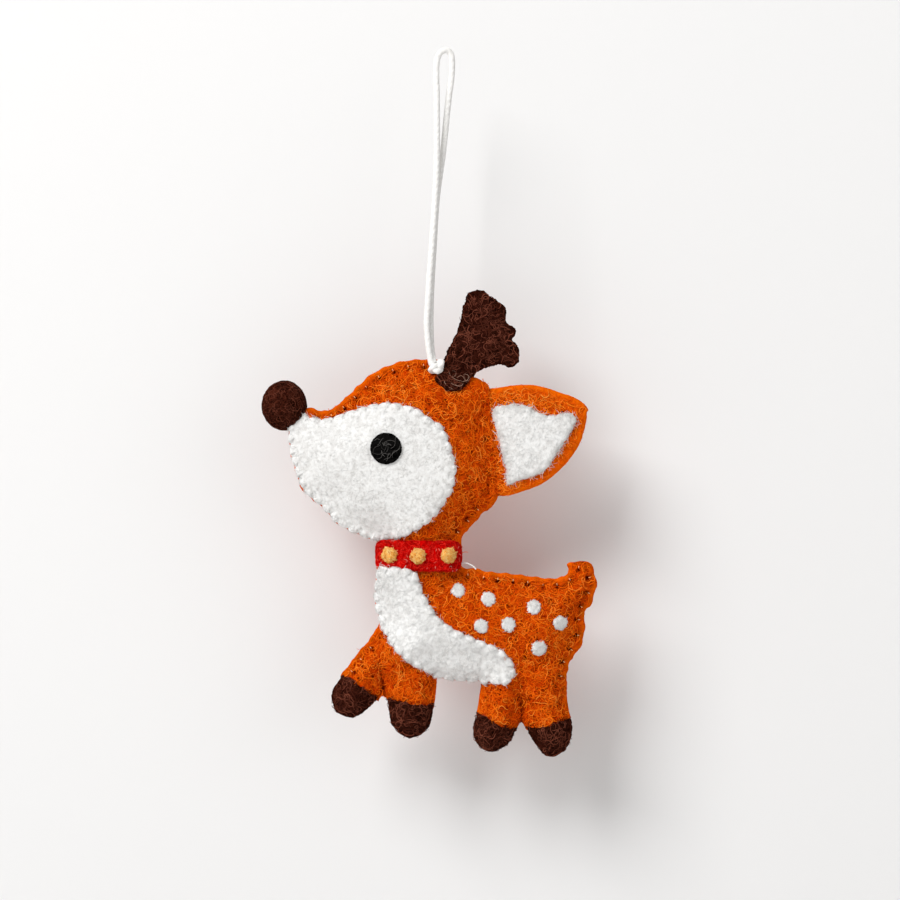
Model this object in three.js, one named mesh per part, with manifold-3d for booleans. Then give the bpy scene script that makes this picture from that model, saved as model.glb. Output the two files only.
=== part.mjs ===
// A stuffed felt fawn that hangs in profile from a white cotton loop.
// Millimetres, +Z up. The fawn faces -X and its decorated side looks along -Y.
// The origin is the hanging point, inside the top of the loop.
// Two felt plies are sewn edge to edge round a filling, so the seam lies in the plane y = 0.

import * as THREE from "three";
import { mergeVertices } from "three/addons/utils/BufferGeometryUtils.js";
import Module from "manifold-3d";

const wasm = await Module();
wasm.setup();

// Felt, seams and fits
const felt = 1.2;
const patchFelt = 1.1;
const seamGap = 0.3;
const clearance = 0.3;
const seamMargin = 2;
const limbMargin = 1.2;
const flange = seamGap / 2 + felt;
const cutterOverrun = 60;

// Where the head hangs, and its size
const crownDrop = 75.9;
const muzzleReach = 39.25;
const head = { width: 51.75, height: 49.75, swell: 5.8, reach: 12 };
const neck = { setback: 22.75, width: 19.5, halfDepth: 4.2, flare: 0.25 };
const trunk = { setback: 21.5, width: 55.25, height: 33.5, swell: 5.6, reach: 11 };
const ear = { tuck: 1.75, drop: 6.75, width: 25, height: 27.75, swell: 0.9, reach: 8 };
const innerEar = { inset: 0.5, drop: 5.25, width: 21.75, height: 19.75 };
const antler = { setback: 36.75, sink: 8.5, width: 21, height: 25.25, swell: 0.7, reach: 4, rimReach: 2.4 };
const face = { inset: 0.4, drop: 11.75, width: 41.3, chinGap: 0.25 };
const chest = { inset: 0.3, drop: 3, trunkShare: 0.619, height: 28.75 };
const eye = { setback: 24.25, drop: 22.9, radius: 3.9, dome: 0.7 };
const nose = { ahead: 1.3, drop: 12.1, width: 11.2, height: 12.4, depth: 11 };
const spot = { radius: 1.93, thickness: 0.8, dome: 0.3 };
const collar = { overhang: 1.6, height: 7.5 };
const bead = { radius: 1.93, thickness: 0.8, dome: 0.4 };
const knot = { setback: 36.4, sink: 2, radius: 2.1 };
const cord = { radius: 0.8, sides: 8, steps: 78 };

// The four legs, front to rear: size, place on the trunk as shares, and the top line of the hoof as shares
const limbSwell = 3.4;
const limbReach = 4.5;
const frontLimb1 = { width: 16.25, height: 22.25 };
const frontLimb2 = { width: 13.25, height: 25.5 };
const rearLimb1 = { width: 12.5, height: 24.25 };
const rearLimb2 = { width: 12.5, height: 26.5 };
const limbs = [
  { name: "front_1", size: frontLimb1, leftShare: -0.2, topShare: 0.54, hoofShares: [0.53, 0.09] },
  { name: "front_2", size: frontLimb2, leftShare: 0.06, topShare: 0.6, hoofShares: [0.38, 0.31] },
  { name: "rear_1", size: rearLimb1, leftShare: 0.443, topShare: 0.73, hoofShares: [0.41, 0.21] },
  { name: "rear_2", size: rearLimb2, leftShare: 0.67, topShare: 0.7, hoofShares: [0.27, 0.36] },
];

// Outlines as shares of each piece's width, from its left edge, and height, from its bottom edge
const headShares = [
  [0.42, 0.085], [0.324, 0.115], [0.237, 0.175], [0.155, 0.25], [0.082, 0.33], [0.034, 0.42], [0.01, 0.52],
  [0, 0.61], [0.01, 0.68], [0.053, 0.725], [0.13, 0.735], [0.208, 0.75], [0.27, 0.805], [0.328, 0.87],
  [0.396, 0.935], [0.469, 0.975], [0.56, 0.995], [0.657, 1], [0.754, 0.98], [0.85, 0.94], [0.928, 0.89],
  [0.961, 0.835], [0.976, 0.76], [0.986, 0.66], [0.995, 0.56], [1, 0.457], [1, 0.357], [0.976, 0.266],
  [0.928, 0.196], [0.87, 0.115],
];
const trunkShares = [
  [0.02, 0.93], [0, 0.84], [0, 0.69], [0.01, 0.56], [0.02, 0.46], [0.05, 0.34], [0.1, 0.25], [0.18, 0.16],
  [0.29, 0.1], [0.39, 0.07], [0.52, 0.01], [0.66, 0], [0.79, 0.03], [0.87, 0.07], [0.9, 0.21], [0.93, 0.37],
  [0.95, 0.55], [0.98, 0.67], [1, 0.79], [1, 0.9], [0.95, 0.96], [0.9, 0.96], [0.85, 0.88], [0.77, 0.84],
  [0.66, 0.86], [0.57, 0.88], [0.48, 0.9], [0.42, 0.93],
];
const faceShares = [
  [0.01, 0.87], [0.07, 0.91], [0.17, 0.9], [0.28, 0.9], [0.38, 0.95], [0.485, 0.985], [0.605, 1], [0.725, 0.98],
  [0.83, 0.92], [0.9, 0.83], [0.96, 0.69], [0.99, 0.53], [0.98, 0.39], [0.93, 0.26], [0.83, 0.13], [0.71, 0.04],
  [0.6, 0], [0.5, 0.02], [0.38, 0.07], [0.28, 0.16], [0.19, 0.27], [0.1, 0.39], [0.05, 0.515], [0.02, 0.66],
  [0, 0.78],
];
const chestShares = [
  [0.01, 0.9], [0, 0.74], [0.01, 0.59], [0.06, 0.435], [0.15, 0.3], [0.27, 0.19], [0.4, 0.1], [0.54, 0.035],
  [0.69, 0.02], [0.83, 0.01], [0.93, 0], [0.99, 0.05], [1, 0.15], [0.96, 0.24], [0.88, 0.33], [0.76, 0.39],
  [0.63, 0.46], [0.51, 0.54], [0.43, 0.64], [0.36, 0.765], [0.33, 0.9], [0.28, 0.98], [0.18, 1], [0.08, 1],
  [0.03, 0.97],
];
const earShares = [
  [0, 0.93], [0.13, 0.97], [0.37, 1], [0.61, 0.96], [0.81, 0.9], [0.93, 0.84], [1, 0.775], [0.98, 0.66],
  [0.93, 0.495], [0.84, 0.35], [0.69, 0.21], [0.49, 0.09], [0.29, 0.02], [0.11, 0.01], [0, 0.04],
];
const innerEarShares = [
  [0.01, 0.94], [0.115, 0.99], [0.29, 1], [0.46, 0.96], [0.63, 0.89], [0.82, 0.89], [0.94, 0.89], [1, 0.82],
  [0.93, 0.65], [0.82, 0.46], [0.68, 0.25], [0.6, 0.165], [0.425, 0.09], [0.26, 0.025], [0.18, 0], [0.14, 0.15],
  [0.09, 0.43], [0.03, 0.71],
];
const antlerShares = [
  [0.012, 0.19], [0.024, 0.09], [0.095, 0.02], [0.2, 0], [0.31, 0.04], [0.39, 0.13], [0.5, 0.2], [0.64, 0.23],
  [0.77, 0.27], [0.905, 0.24], [0.99, 0.3], [1, 0.41], [0.93, 0.475], [0.87, 0.505], [0.92, 0.57], [0.93, 0.64],
  [0.845, 0.7], [0.83, 0.79], [0.76, 0.88], [0.64, 0.94], [0.56, 0.99], [0.45, 1], [0.37, 0.96], [0.32, 0.84],
  [0.27, 0.68], [0.21, 0.545], [0.13, 0.41], [0.05, 0.3],
];
const collarShares = [
  [0, 0.5], [0.02, 0.8], [0.09, 0.97], [0.3, 1], [0.5, 1], [0.7, 1], [0.91, 0.97], [0.98, 0.8], [1, 0.5],
  [0.98, 0.2], [0.91, 0.04], [0.7, 0], [0.5, 0], [0.3, 0.04], [0.09, 0.08], [0.02, 0.22],
];
const limbOutlineShares = {
  front_1: [
    [0.82, 1], [0.63, 0.93], [0.45, 0.75], [0.23, 0.55], [0.14, 0.46], [0.05, 0.36], [0, 0.24], [0.06, 0.09],
    [0.2, 0.01], [0.38, 0], [0.55, 0.07], [0.71, 0.19], [0.85, 0.28], [0.88, 0.47], [0.94, 0.7], [1, 0.89],
  ],
  front_2: [
    [0.23, 0.96], [0.04, 0.81], [0, 0.57], [0, 0.39], [0, 0.25], [0.09, 0.12], [0.26, 0.03], [0.47, 0],
    [0.7, 0.06], [0.83, 0.19], [0.87, 0.35], [0.92, 0.55], [1, 0.73], [0.94, 0.88], [0.6, 1],
  ],
  rear_1: [
    [0.46, 1], [0.18, 0.86], [0.14, 0.63], [0.1, 0.46], [0, 0.28], [0.02, 0.12], [0.2, 0.02], [0.46, 0],
    [0.7, 0.06], [0.86, 0.16], [0.94, 0.3], [0.96, 0.53], [1, 0.78], [0.82, 0.96],
  ],
  rear_2: [
    [0.34, 1], [0.06, 0.87], [0, 0.58], [0, 0.32], [0.1, 0.2], [0.26, 0.08], [0.5, 0], [0.7, 0],
    [0.9, 0.08], [1, 0.24], [0.94, 0.39], [0.88, 0.55], [0.9, 0.74], [0.7, 0.94],
  ],
};

// Where the dots sit, as shares of the trunk or the collar, from its left and from its top
const spotShares = [
  [0.373, 0.254], [0.514, 0.321], [0.719, 0.384], [0.48, 0.522], [0.602, 0.511], [0.839, 0.5], [0.74, 0.69],
];
const beadShares = [[0.17, 0.47], [0.49, 0.5], [0.82, 0.48]];

// Where the star-shaped ring meshes close, and how far each ring lies on the way there
const headCentreShare = [0.52, 0.5];
const trunkCentreShare = [0.585, 0.34];
const faceCentreShare = [0.5, 0.52];
const chestCentreShare = [0.42, 0.36];
const earCentreShare = [0.4, 0.5];
const antlerCentreShare = [0.52, 0.45];
const middleShare = [0.5, 0.5];
const padRingShares = [0, 0.12, 0.32, 0.62];
const limbRingShares = [0, 0.2, 0.55];
const patchRingShares = [0.22, 0.45, 0.7];
const dotRingShares = [0.5];

// How many points go round each outline
const headOutlineCount = 36;
const trunkOutlineCount = 42;
const patchOutlineCount = 32;
const earOutlineCount = 26;
const antlerOutlineCount = 36;
const collarOutlineCount = 22;
const neckLineCount = 5;
const limbOutlineCount = 20;
const dotOutlineCount = 12;
const ballSegments = 16;

// The cord's centreline from the knot up the near strand, over the top and down the far strand
const cordRoute = [
  [-3.8, -3.85, -75.1], [-4, -4.2, -72], [-4.25, -5, -67], [-4.25, -5.4, -61.5], [-3.9, -5.35, -55],
  [-3.5, -4.6, -49], [-2.7, -3.2, -36.5], [-2.3, -2.4, -26.5], [-2.3, -1.5, -11.5], [-2.45, -1.15, -6.5],
  [-2.3, -0.7, -2], [-1.4, -0.3, 0.15], [0, 0, 0.8], [1.1, 0.3, 0.1], [1.5, 0.6, -2], [1.3, 0.85, -6.5],
  [0.6, 0.8, -11.5], [-0.4, 0.2, -21.5], [-1, -0.2, -26.5], [-2.3, -1.2, -36.5], [-3.1, -2.6, -49],
  [-3.4, -3.45, -55], [-3.45, -3.85, -61.5], [-2.8, -3.85, -67], [-2.15, -3.85, -72], [-1.9, -3.85, -75.1],
];

// Boxes and centres that follow from the sizes above
const headBox = { left: -muzzleReach, top: -crownDrop, width: head.width, height: head.height };
const neckLeft = headBox.left + neck.setback;
const neckRight = neckLeft + neck.width;
const neckLevel = headBox.top - head.height;
const trunkBox = {
  left: headBox.left + trunk.setback,
  top: neckLevel - clearance,
  width: trunk.width,
  height: trunk.height,
};
const earBox = {
  left: headBox.left + head.width - ear.tuck,
  top: headBox.top - ear.drop,
  width: ear.width,
  height: ear.height,
};
const antlerBox = {
  left: headBox.left + antler.setback,
  top: headBox.top - antler.sink + antler.height,
  width: antler.width,
  height: antler.height,
};
const faceHeight = head.height - face.drop - collar.height / 2 - face.chinGap;
const faceBox = boxOn(headBox, face.inset, face.drop, { width: face.width, height: faceHeight });
const chestSize = { width: chest.trunkShare * trunk.width, height: chest.height };
const chestBox = boxOn(trunkBox, chest.inset, chest.drop, chestSize);
const innerEarBox = boxOn(earBox, innerEar.inset, innerEar.drop, innerEar);
const collarBox = {
  left: neckLeft - collar.overhang,
  top: neckLevel + collar.height / 2,
  width: neck.width + 2 * collar.overhang,
  height: collar.height,
};
const eyeCentre = new THREE.Vector2(headBox.left + eye.setback, headBox.top - eye.drop);
const noseCentre = new THREE.Vector3(headBox.left - nose.ahead, 0, headBox.top - nose.drop);
const knotForward = flange + clearance + patchFelt + clearance + cord.radius;
const knotCentre = new THREE.Vector3(headBox.left + knot.setback, -knotForward, headBox.top - knot.sink);

function boxOn(carrier, inset, drop, size) {
  return { left: carrier.left + inset, top: carrier.top - drop, width: size.width, height: size.height };
}

function placeIn(box, [acrossShare, upShare]) {
  return new THREE.Vector2(box.left + acrossShare * box.width, box.top - box.height + upShare * box.height);
}

// A smooth closed outline, anticlockwise as the viewer sees it
function closedOutline(shares, box, count) {
  const corners = shares.map((share) => placeIn(box, share));
  const curve = new THREE.CatmullRomCurve3(corners.map((p) => new THREE.Vector3(p.x, p.y, 0)), true);
  const points = curve.getSpacedPoints(count).slice(0, count);
  const outline = points.map((p) => new THREE.Vector2(p.x, p.y));
  return THREE.ShapeUtils.area(outline) < 0 ? outline.reverse() : outline;
}

// A sewn edge from one corner of the neck to the other, closed by a straight neck line
function neckedOutline(shares, box, level, count) {
  const start = new THREE.Vector3(neckLeft, level, 0);
  const end = new THREE.Vector3(neckRight, level, 0);
  const inner = shares.map((share) => placeIn(box, share)).map((p) => new THREE.Vector3(p.x, p.y, 0));
  const sewn = new THREE.CatmullRomCurve3([start, ...inner, end]).getSpacedPoints(count);
  const edge = sewn.map((p) => new THREE.Vector2(p.x, p.y));
  const line = [];
  for (let i = 1; i < neckLineCount; i++) {
    line.push(new THREE.Vector2().lerpVectors(edge[count], edge[0], i / neckLineCount));
  }
  const outline = [...edge, ...line];
  return { edge, outline: THREE.ShapeUtils.area(outline) < 0 ? outline.reverse() : outline };
}

function distanceToEdge(point, edge, closed) {
  let least = Infinity;
  const segments = closed ? edge.length : edge.length - 1;
  for (let i = 0; i < segments; i++) {
    const a = edge[i];
    const along = new THREE.Vector2().subVectors(edge[(i + 1) % edge.length], a);
    const share = new THREE.Vector2().subVectors(point, a).dot(along) / along.lengthSq();
    const foot = along.multiplyScalar(THREE.MathUtils.clamp(share, 0, 1)).add(a);
    least = Math.min(least, foot.distanceTo(point));
  }
  return least;
}

function isInside(point, outline) {
  let inside = false;
  for (let i = 0, j = outline.length - 1; i < outline.length; j = i, i++) {
    const a = outline[i];
    const b = outline[j];
    const crosses = a.y > point.y !== b.y > point.y;
    if (crosses && point.x < a.x + ((b.x - a.x) * (point.y - a.y)) / (b.y - a.y)) inside = !inside;
  }
  return inside;
}

// Half the thickness at a given distance inside a sewn edge: a flat margin, then a rounded rise
function swellAt(distance, margin, size) {
  const rise = THREE.MathUtils.clamp((distance - margin) / size.reach, 0, 1);
  return flange + size.swell * Math.sin((rise * Math.PI) / 2);
}

// A form's rings of points, each with half the thickness there, from the outline to the centre
function makeForm({ outline, edge, size, margin, ringShares, centre, neckDistance }) {
  const sewn = edge ?? outline;
  const half = (point) => {
    const full = swellAt(distanceToEdge(point, sewn, !edge), margin, size);
    const drawnIn = neckDistance ? neck.halfDepth + neck.flare * Math.max(neckDistance(point), 0) : Infinity;
    return Math.min(full, drawnIn);
  };
  const withHalf = (point) => ({ x: point.x, z: point.y, half: half(point) });
  const rings = [outline.map(withHalf)];
  for (const share of ringShares) {
    rings.push(outline.map((point) => withHalf(towardCentre(point, centre, margin, share))));
  }
  return { outline, rings, centre: withHalf(centre), halfAt: (p) => (isInside(p, outline) ? half(p) : 0) };
}

function towardCentre(point, centre, margin, share) {
  const reach = point.distanceTo(centre);
  return new THREE.Vector2().lerpVectors(point, centre, (margin + share * (reach - margin)) / reach);
}

// A closed solid over rings of points, between a depth toward the viewer and a depth behind it
function solidBetween(rings, centre, near, far) {
  const count = rings[0].length;
  const points = [...rings.flat(), centre];
  const positions = [];
  for (const depth of [near, far]) {
    for (const point of points) positions.push(point.x, -depth(point), point.z);
  }
  const indices = [];
  const addPair = (a, b, c) => {
    indices.push(a, b, c);
    indices.push(points.length + a, points.length + c, points.length + b);
  };
  for (let i = 0; i < count; i++) {
    const next = (i + 1) % count;
    for (let ring = 1; ring < rings.length; ring++) {
      const outer = (ring - 1) * count;
      const inner = ring * count;
      addPair(outer + i, outer + next, inner + next);
      addPair(outer + i, inner + next, inner + i);
    }
    const last = (rings.length - 1) * count;
    addPair(last + i, last + next, points.length - 1);
    indices.push(next, i, points.length + i);
    indices.push(next, points.length + i, points.length + next);
  }
  const geometry = new THREE.BufferGeometry();
  geometry.setAttribute("position", new THREE.Float32BufferAttribute(positions, 3));
  geometry.setIndex(indices);
  return toSolid(geometry);
}

function toSolid(geometry) {
  const bare = geometry.clone();
  bare.deleteAttribute("normal");
  bare.deleteAttribute("uv");
  const merged = mergeVertices(bare);
  const vertProperties = new Float32Array(merged.attributes.position.array);
  const triVerts = new Uint32Array(merged.index.array);
  return new wasm.Manifold(new wasm.Mesh({ numProp: 3, vertProperties, triVerts }));
}

function toGeometry(solid) {
  const mesh = solid.getMesh();
  const geometry = new THREE.BufferGeometry();
  geometry.setAttribute("position", new THREE.Float32BufferAttribute(mesh.vertProperties, 3));
  geometry.setIndex([...mesh.triVerts]);
  geometry.computeVertexNormals();
  return geometry;
}

function cut(solid, ...cutters) {
  return cutters.reduce((rest, cutter) => rest.subtract(cutter), solid);
}

// The whole form, both plies and filling, swollen on every side by the clearance
function grownForm(form) {
  const outer = form.rings[0];
  const pushed = outer.map((point, i) => {
    const before = outer[(i + outer.length - 1) % outer.length];
    const after = outer[(i + 1) % outer.length];
    const normal = new THREE.Vector2(after.z - before.z, before.x - after.x).setLength(clearance);
    return { x: point.x + normal.x, z: point.z + normal.y, half: point.half };
  });
  const depth = (point) => point.half + clearance;
  return solidBetween([pushed, ...form.rings], form.centre, depth, (point) => -depth(point));
}

// The ply toward the viewer: a dish of felt, open at the seam
function nearPly(form) {
  return solidBetween(form.rings, form.centre, (p) => p.half, innerDepth);
}

function farPly(form) {
  return solidBetween(form.rings, form.centre, (p) => -innerDepth(p), (p) => -p.half);
}

function innerDepth(point) {
  return Math.max(point.half - felt, seamGap / 2);
}

// The filling fits inside the plies with the clearance all round
function filling(form) {
  const depth = (point) => point.half - felt - clearance;
  return solidBetween(form.rings.slice(2), form.centre, depth, (p) => -depth(p));
}

// Flat felt cut to an outline, lying on whatever forms carry it
function laidFelt({ outline, centre, ringShares, under, top, start }) {
  const asPoint = (p) => ({ x: p.x, z: p.y });
  const rings = [outline.map(asPoint)];
  for (const share of ringShares) {
    rings.push(outline.map((point) => asPoint(towardCentre(point, centre, 0, share))));
  }
  const depth = (point) => {
    const flat = new THREE.Vector2(point.x, point.z);
    return under(flat) + clearance + top(flat);
  };
  return solidBetween(rings, asPoint(centre), depth, () => start);
}

function circleOutline(centre, radius) {
  const outline = [];
  for (let i = 0; i < dotOutlineCount; i++) {
    const angle = (i / dotOutlineCount) * 2 * Math.PI;
    outline.push(new THREE.Vector2(Math.cos(angle), Math.sin(angle)).multiplyScalar(radius).add(centre));
  }
  return outline;
}

// A round dot, a little domed, on the forms that carry it
function laidDot(centre, size, thickness, under, start) {
  const top = (p) => thickness + size.dome * (1 - p.distanceToSquared(centre) / size.radius ** 2);
  const outline = circleOutline(centre, size.radius);
  return laidFelt({ outline, centre, ringShares: dotRingShares, under, top, start });
}

// How high the felt lies on its carriers, and level with a seam's felt where it hangs over their edge
const highest = (...forms) => (p) => Math.max(flange, ...forms.map((form) => form.halfAt(p)));

// Materials
function material(color, roughness) {
  return new THREE.MeshStandardMaterial({ color, roughness, metalness: 0 });
}
const orangeFelt = material(0xc54a08, 0.95);
const brownFelt = material(0x461d11, 0.95);
const whiteFelt = material(0xe7e6e3, 0.95);
const redFelt = material(0xc0130e, 0.95);
const yellowFelt = material(0xf0a55a, 0.95);
const blackFelt = material(0x141211, 0.7);
const whiteCotton = material(0xf7f6f2, 0.9);
const whiteFibre = material(0xefefef, 1);

const fawn = new THREE.Group();

function addPiece(name, solid, look) {
  const mesh = new THREE.Mesh(toGeometry(solid), look);
  mesh.name = name;
  fawn.add(mesh);
}

// Forms: head, trunk, ear and four legs
function headForm() {
  const { edge, outline } = neckedOutline(headShares, headBox, neckLevel, headOutlineCount);
  const centre = placeIn(headBox, headCentreShare);
  const neckDistance = (p) => p.y - neckLevel;
  return makeForm({
    outline, edge, size: head, margin: seamMargin, ringShares: padRingShares, centre, neckDistance,
  });
}

function trunkForm() {
  const { edge, outline } = neckedOutline(trunkShares, trunkBox, trunkBox.top, trunkOutlineCount);
  const centre = placeIn(trunkBox, trunkCentreShare);
  const neckDistance = (p) => trunkBox.top - p.y;
  return makeForm({
    outline, edge, size: trunk, margin: seamMargin, ringShares: padRingShares, centre, neckDistance,
  });
}

function earForm() {
  const outline = closedOutline(earShares, earBox, earOutlineCount);
  const centre = placeIn(earBox, earCentreShare);
  return makeForm({ outline, size: ear, margin: seamMargin, ringShares: limbRingShares, centre });
}

function limbForm(limb) {
  const box = {
    left: trunkBox.left + limb.leftShare * trunkBox.width,
    top: trunkBox.top - limb.topShare * trunkBox.height,
    width: limb.size.width,
    height: limb.size.height,
  };
  const outline = closedOutline(limbOutlineShares[limb.name], box, limbOutlineCount);
  const size = { swell: limbSwell, reach: limbReach };
  const centre = placeIn(box, middleShare);
  const form = makeForm({ outline, size, margin: limbMargin, ringShares: limbRingShares, centre });
  return { ...form, box, limb };
}

const headBody = headForm();
const trunkBody = trunkForm();
const earBody = earForm();
const limbBodies = limbs.map(limbForm);

const grownHead = grownForm(headBody);
const grownTrunk = grownForm(trunkBody);
const grownEar = grownForm(earBody);
const grownLimbs = limbBodies.map(grownForm);

// Head and trunk, each two sewn plies round a filling
function addStuffed(name, form) {
  addPiece(`${name}_front_felt`, nearPly(form), orangeFelt);
  addPiece(`${name}_back_felt`, farPly(form), orangeFelt);
  addPiece(`${name}_stuffing`, filling(form), whiteFibre);
}

// Each leg ends in a brown hoof; the rear leg of a pair gives way to the one ahead of it
function addLimbs() {
  limbBodies.forEach((body, i) => {
    const ahead = i % 2 === 1 ? [grownLimbs[i - 1]] : [];
    const whole = cut(solidBetween(body.rings, body.centre, (p) => p.half, (p) => -p.half), grownTrunk, ...ahead);
    const number = body.limb.name.split("_")[1];
    const pair = body.limb.name.split("_")[0];
    addPiece(`${pair}_leg_${number}`, cut(whole, belowHoofLine(body, clearance / 2)), orangeFelt);
    addPiece(`${pair}_hoof_${number}`, whole.intersect(belowHoofLine(body, -clearance / 2)), brownFelt);
  });
}

// A block that fills everything under a leg's hoof line, moved up by a given rise
function belowHoofLine({ box, limb }, rise) {
  const left = placeIn(box, [0, limb.hoofShares[0]]);
  const right = placeIn(box, [1, limb.hoofShares[1]]);
  const angle = Math.atan2(right.y - left.y, right.x - left.x);
  const block = new THREE.BoxGeometry(cutterOverrun, cutterOverrun, cutterOverrun);
  block.translate(0, 0, rise - cutterOverrun / 2);
  block.rotateY(-angle);
  const middle = left.add(right).divideScalar(2);
  block.translate(middle.x, 0, middle.y);
  return toSolid(block);
}

// The ear's two plies butt against the head's rim, with a white lining on the near one
function addEar() {
  addPiece("ear_front_felt", cut(solidBetween(earBody.rings, earBody.centre, (p) => p.half, () => seamGap / 2),
    grownHead), orangeFelt);
  addPiece("ear_back_felt", cut(solidBetween(earBody.rings, earBody.centre, () => -seamGap / 2, (p) => -p.half),
    grownHead), orangeFelt);
  const lining = laidFelt({
    outline: closedOutline(innerEarShares, innerEarBox, earOutlineCount),
    centre: placeIn(innerEarBox, middleShare),
    ringShares: patchRingShares,
    under: highest(earBody, headBody),
    top: () => patchFelt,
    start: flange,
  });
  addPiece("inner_ear_felt", cut(lining, grownEar, grownHead), whiteFelt);
}

// The antler's two plies stand on the crown and straddle the head's rim
function addAntler() {
  const outline = closedOutline(antlerShares, antlerBox, antlerOutlineCount);
  const centre = placeIn(antlerBox, antlerCentreShare);
  const form = makeForm({ outline, size: antler, margin: limbMargin, ringShares: limbRingShares, centre });
  const overRim = (p) => {
    const gap = distanceToEdge(p, headBody.outline, true);
    const carried = gap < antler.rimReach ? flange : 0;
    return Math.max(headBody.halfAt(p), carried) + (headBody.halfAt(p) || carried ? clearance + patchFelt : 0);
  };
  const depth = (point) => Math.max(point.half, overRim(new THREE.Vector2(point.x, point.z)));
  const grownKnot = ball(knot.radius + clearance, knotCentre);
  const near = solidBetween(form.rings, form.centre, depth, () => seamGap / 2);
  const far = solidBetween(form.rings, form.centre, () => -seamGap / 2, (p) => -depth(p));
  addPiece("antler_front_felt", cut(near, grownHead, grownKnot), brownFelt);
  addPiece("antler_back_felt", cut(far, grownHead), brownFelt);
}

function ball(radius, centre) {
  const sphere = new THREE.SphereGeometry(radius, ballSegments, ballSegments / 2 + 1);
  sphere.translate(centre.x, centre.y, centre.z);
  return toSolid(sphere);
}

function noseBall(extra) {
  const sphere = new THREE.SphereGeometry(1, ballSegments, ballSegments / 2 + 1);
  sphere.scale(nose.width / 2 + extra, nose.depth / 2 + extra, nose.height / 2 + extra);
  sphere.translate(noseCentre.x, noseCentre.y, noseCentre.z);
  return toSolid(sphere);
}

// White face, eye and nose
function addFace() {
  const patch = laidFelt({
    outline: closedOutline(faceShares, faceBox, patchOutlineCount),
    centre: placeIn(faceBox, faceCentreShare),
    ringShares: patchRingShares,
    under: highest(headBody),
    top: () => patchFelt,
    start: flange,
  });
  const facePatch = cut(patch, grownHead, noseBall(clearance));
  addPiece("face_patch", facePatch, whiteFelt);
  const onPatch = (p) => headBody.halfAt(p) + clearance + patchFelt;
  addPiece("eye_disc", cut(laidDot(eyeCentre, eye, patchFelt, onPatch, flange),
    laidGrown(faceShares, faceBox, faceCentreShare, highest(headBody))), blackFelt);
  addPiece("nose_ball", cut(noseBall(0), grownHead), brownFelt);
}

// A laid patch and all beneath it, thicker by the clearance, to cut what lies on top
function laidGrown(shares, box, centreShare, under) {
  return laidFelt({
    outline: closedOutline(shares, box, patchOutlineCount),
    centre: placeIn(box, centreShare),
    ringShares: patchRingShares,
    under,
    top: () => patchFelt + clearance,
    start: 0,
  });
}

// White chest and the dots along the back
function addMarkings(grownCollar) {
  const carriers = highest(trunkBody, ...limbBodies);
  const patch = laidFelt({
    outline: closedOutline(chestShares, chestBox, patchOutlineCount),
    centre: placeIn(chestBox, chestCentreShare),
    ringShares: patchRingShares,
    under: carriers,
    top: () => patchFelt,
    start: flange,
  });
  addPiece("chest_patch", cut(patch, grownTrunk, ...grownLimbs, grownCollar), whiteFelt);
  spotShares.forEach(([across, down], i) => {
    const centre = placeIn(trunkBox, [across, 1 - down]);
    const dot = laidDot(centre, spot, spot.thickness, carriers, flange);
    addPiece(`spot_${i + 1}`, cut(dot, grownTrunk, ...grownLimbs), whiteFelt);
  });
}

// How far the collar's surface stands from the seam plane, before its own thickness
function underCollar(point) {
  const side = Math.max(Math.min(point.x - neckLeft, neckRight - point.x), 0);
  const drawnIn = neck.halfDepth + neck.flare * Math.abs(point.y - neckLevel);
  const wrap = Math.min(drawnIn, swellAt(side, seamMargin, head));
  return Math.max(wrap, highest(headBody, trunkBody)(point));
}

function collarBlock(extra) {
  const outline = closedOutline(collarShares, collarBox, collarOutlineCount);
  const centre = placeIn(collarBox, middleShare);
  const rings = [0, ...patchRingShares].map((share) => outline.map((p) => towardCentre(p, centre, 0, share)));
  const points = rings.map((ring) => ring.map((p) => ({ x: p.x, z: p.y })));
  const depth = (p) => underCollar(new THREE.Vector2(p.x, p.z)) + clearance + felt + extra;
  return solidBetween(points, { x: centre.x, z: centre.y }, depth, (p) => -depth(p));
}

// The collar goes right round the neck and carries its yellow dots on the near side
function addCollar() {
  addPiece("collar_band", cut(collarBlock(0), grownHead, grownTrunk), redFelt);
  const onBand = (p) => underCollar(p) + clearance + felt;
  beadShares.forEach(([across, down], i) => {
    const centre = placeIn(collarBox, [across, 1 - down]);
    const dot = laidDot(centre, bead, bead.thickness, onBand, flange);
    addPiece(`collar_bead_${i + 1}`, cut(dot, collarBlock(clearance)), yellowFelt);
  });
}

// The hanging loop is one cord, its two ends gathered in a knot on the crown
function addLoop() {
  const route = new THREE.CatmullRomCurve3(cordRoute.map((point) => new THREE.Vector3(...point)));
  const section = new THREE.Shape();
  for (let i = 0; i < cord.sides; i++) {
    const angle = (i / cord.sides) * 2 * Math.PI;
    const place = [cord.radius * Math.cos(angle), cord.radius * Math.sin(angle)];
    if (i === 0) {
      section.moveTo(...place);
    } else {
      section.lineTo(...place);
    }
  }
  const tube = new THREE.ExtrudeGeometry(section, { steps: cord.steps, extrudePath: route });
  addPiece("hanging_loop", toSolid(tube), whiteCotton);
  addPiece("loop_knot", ball(knot.radius, knotCentre), whiteCotton);
}

addStuffed("head", headBody);
addStuffed("body", trunkBody);
addLimbs();
addEar();
addAntler();
addFace();
addCollar();
addMarkings(collarBlock(clearance));
addLoop();

export default fawn;
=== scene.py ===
import math

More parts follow.
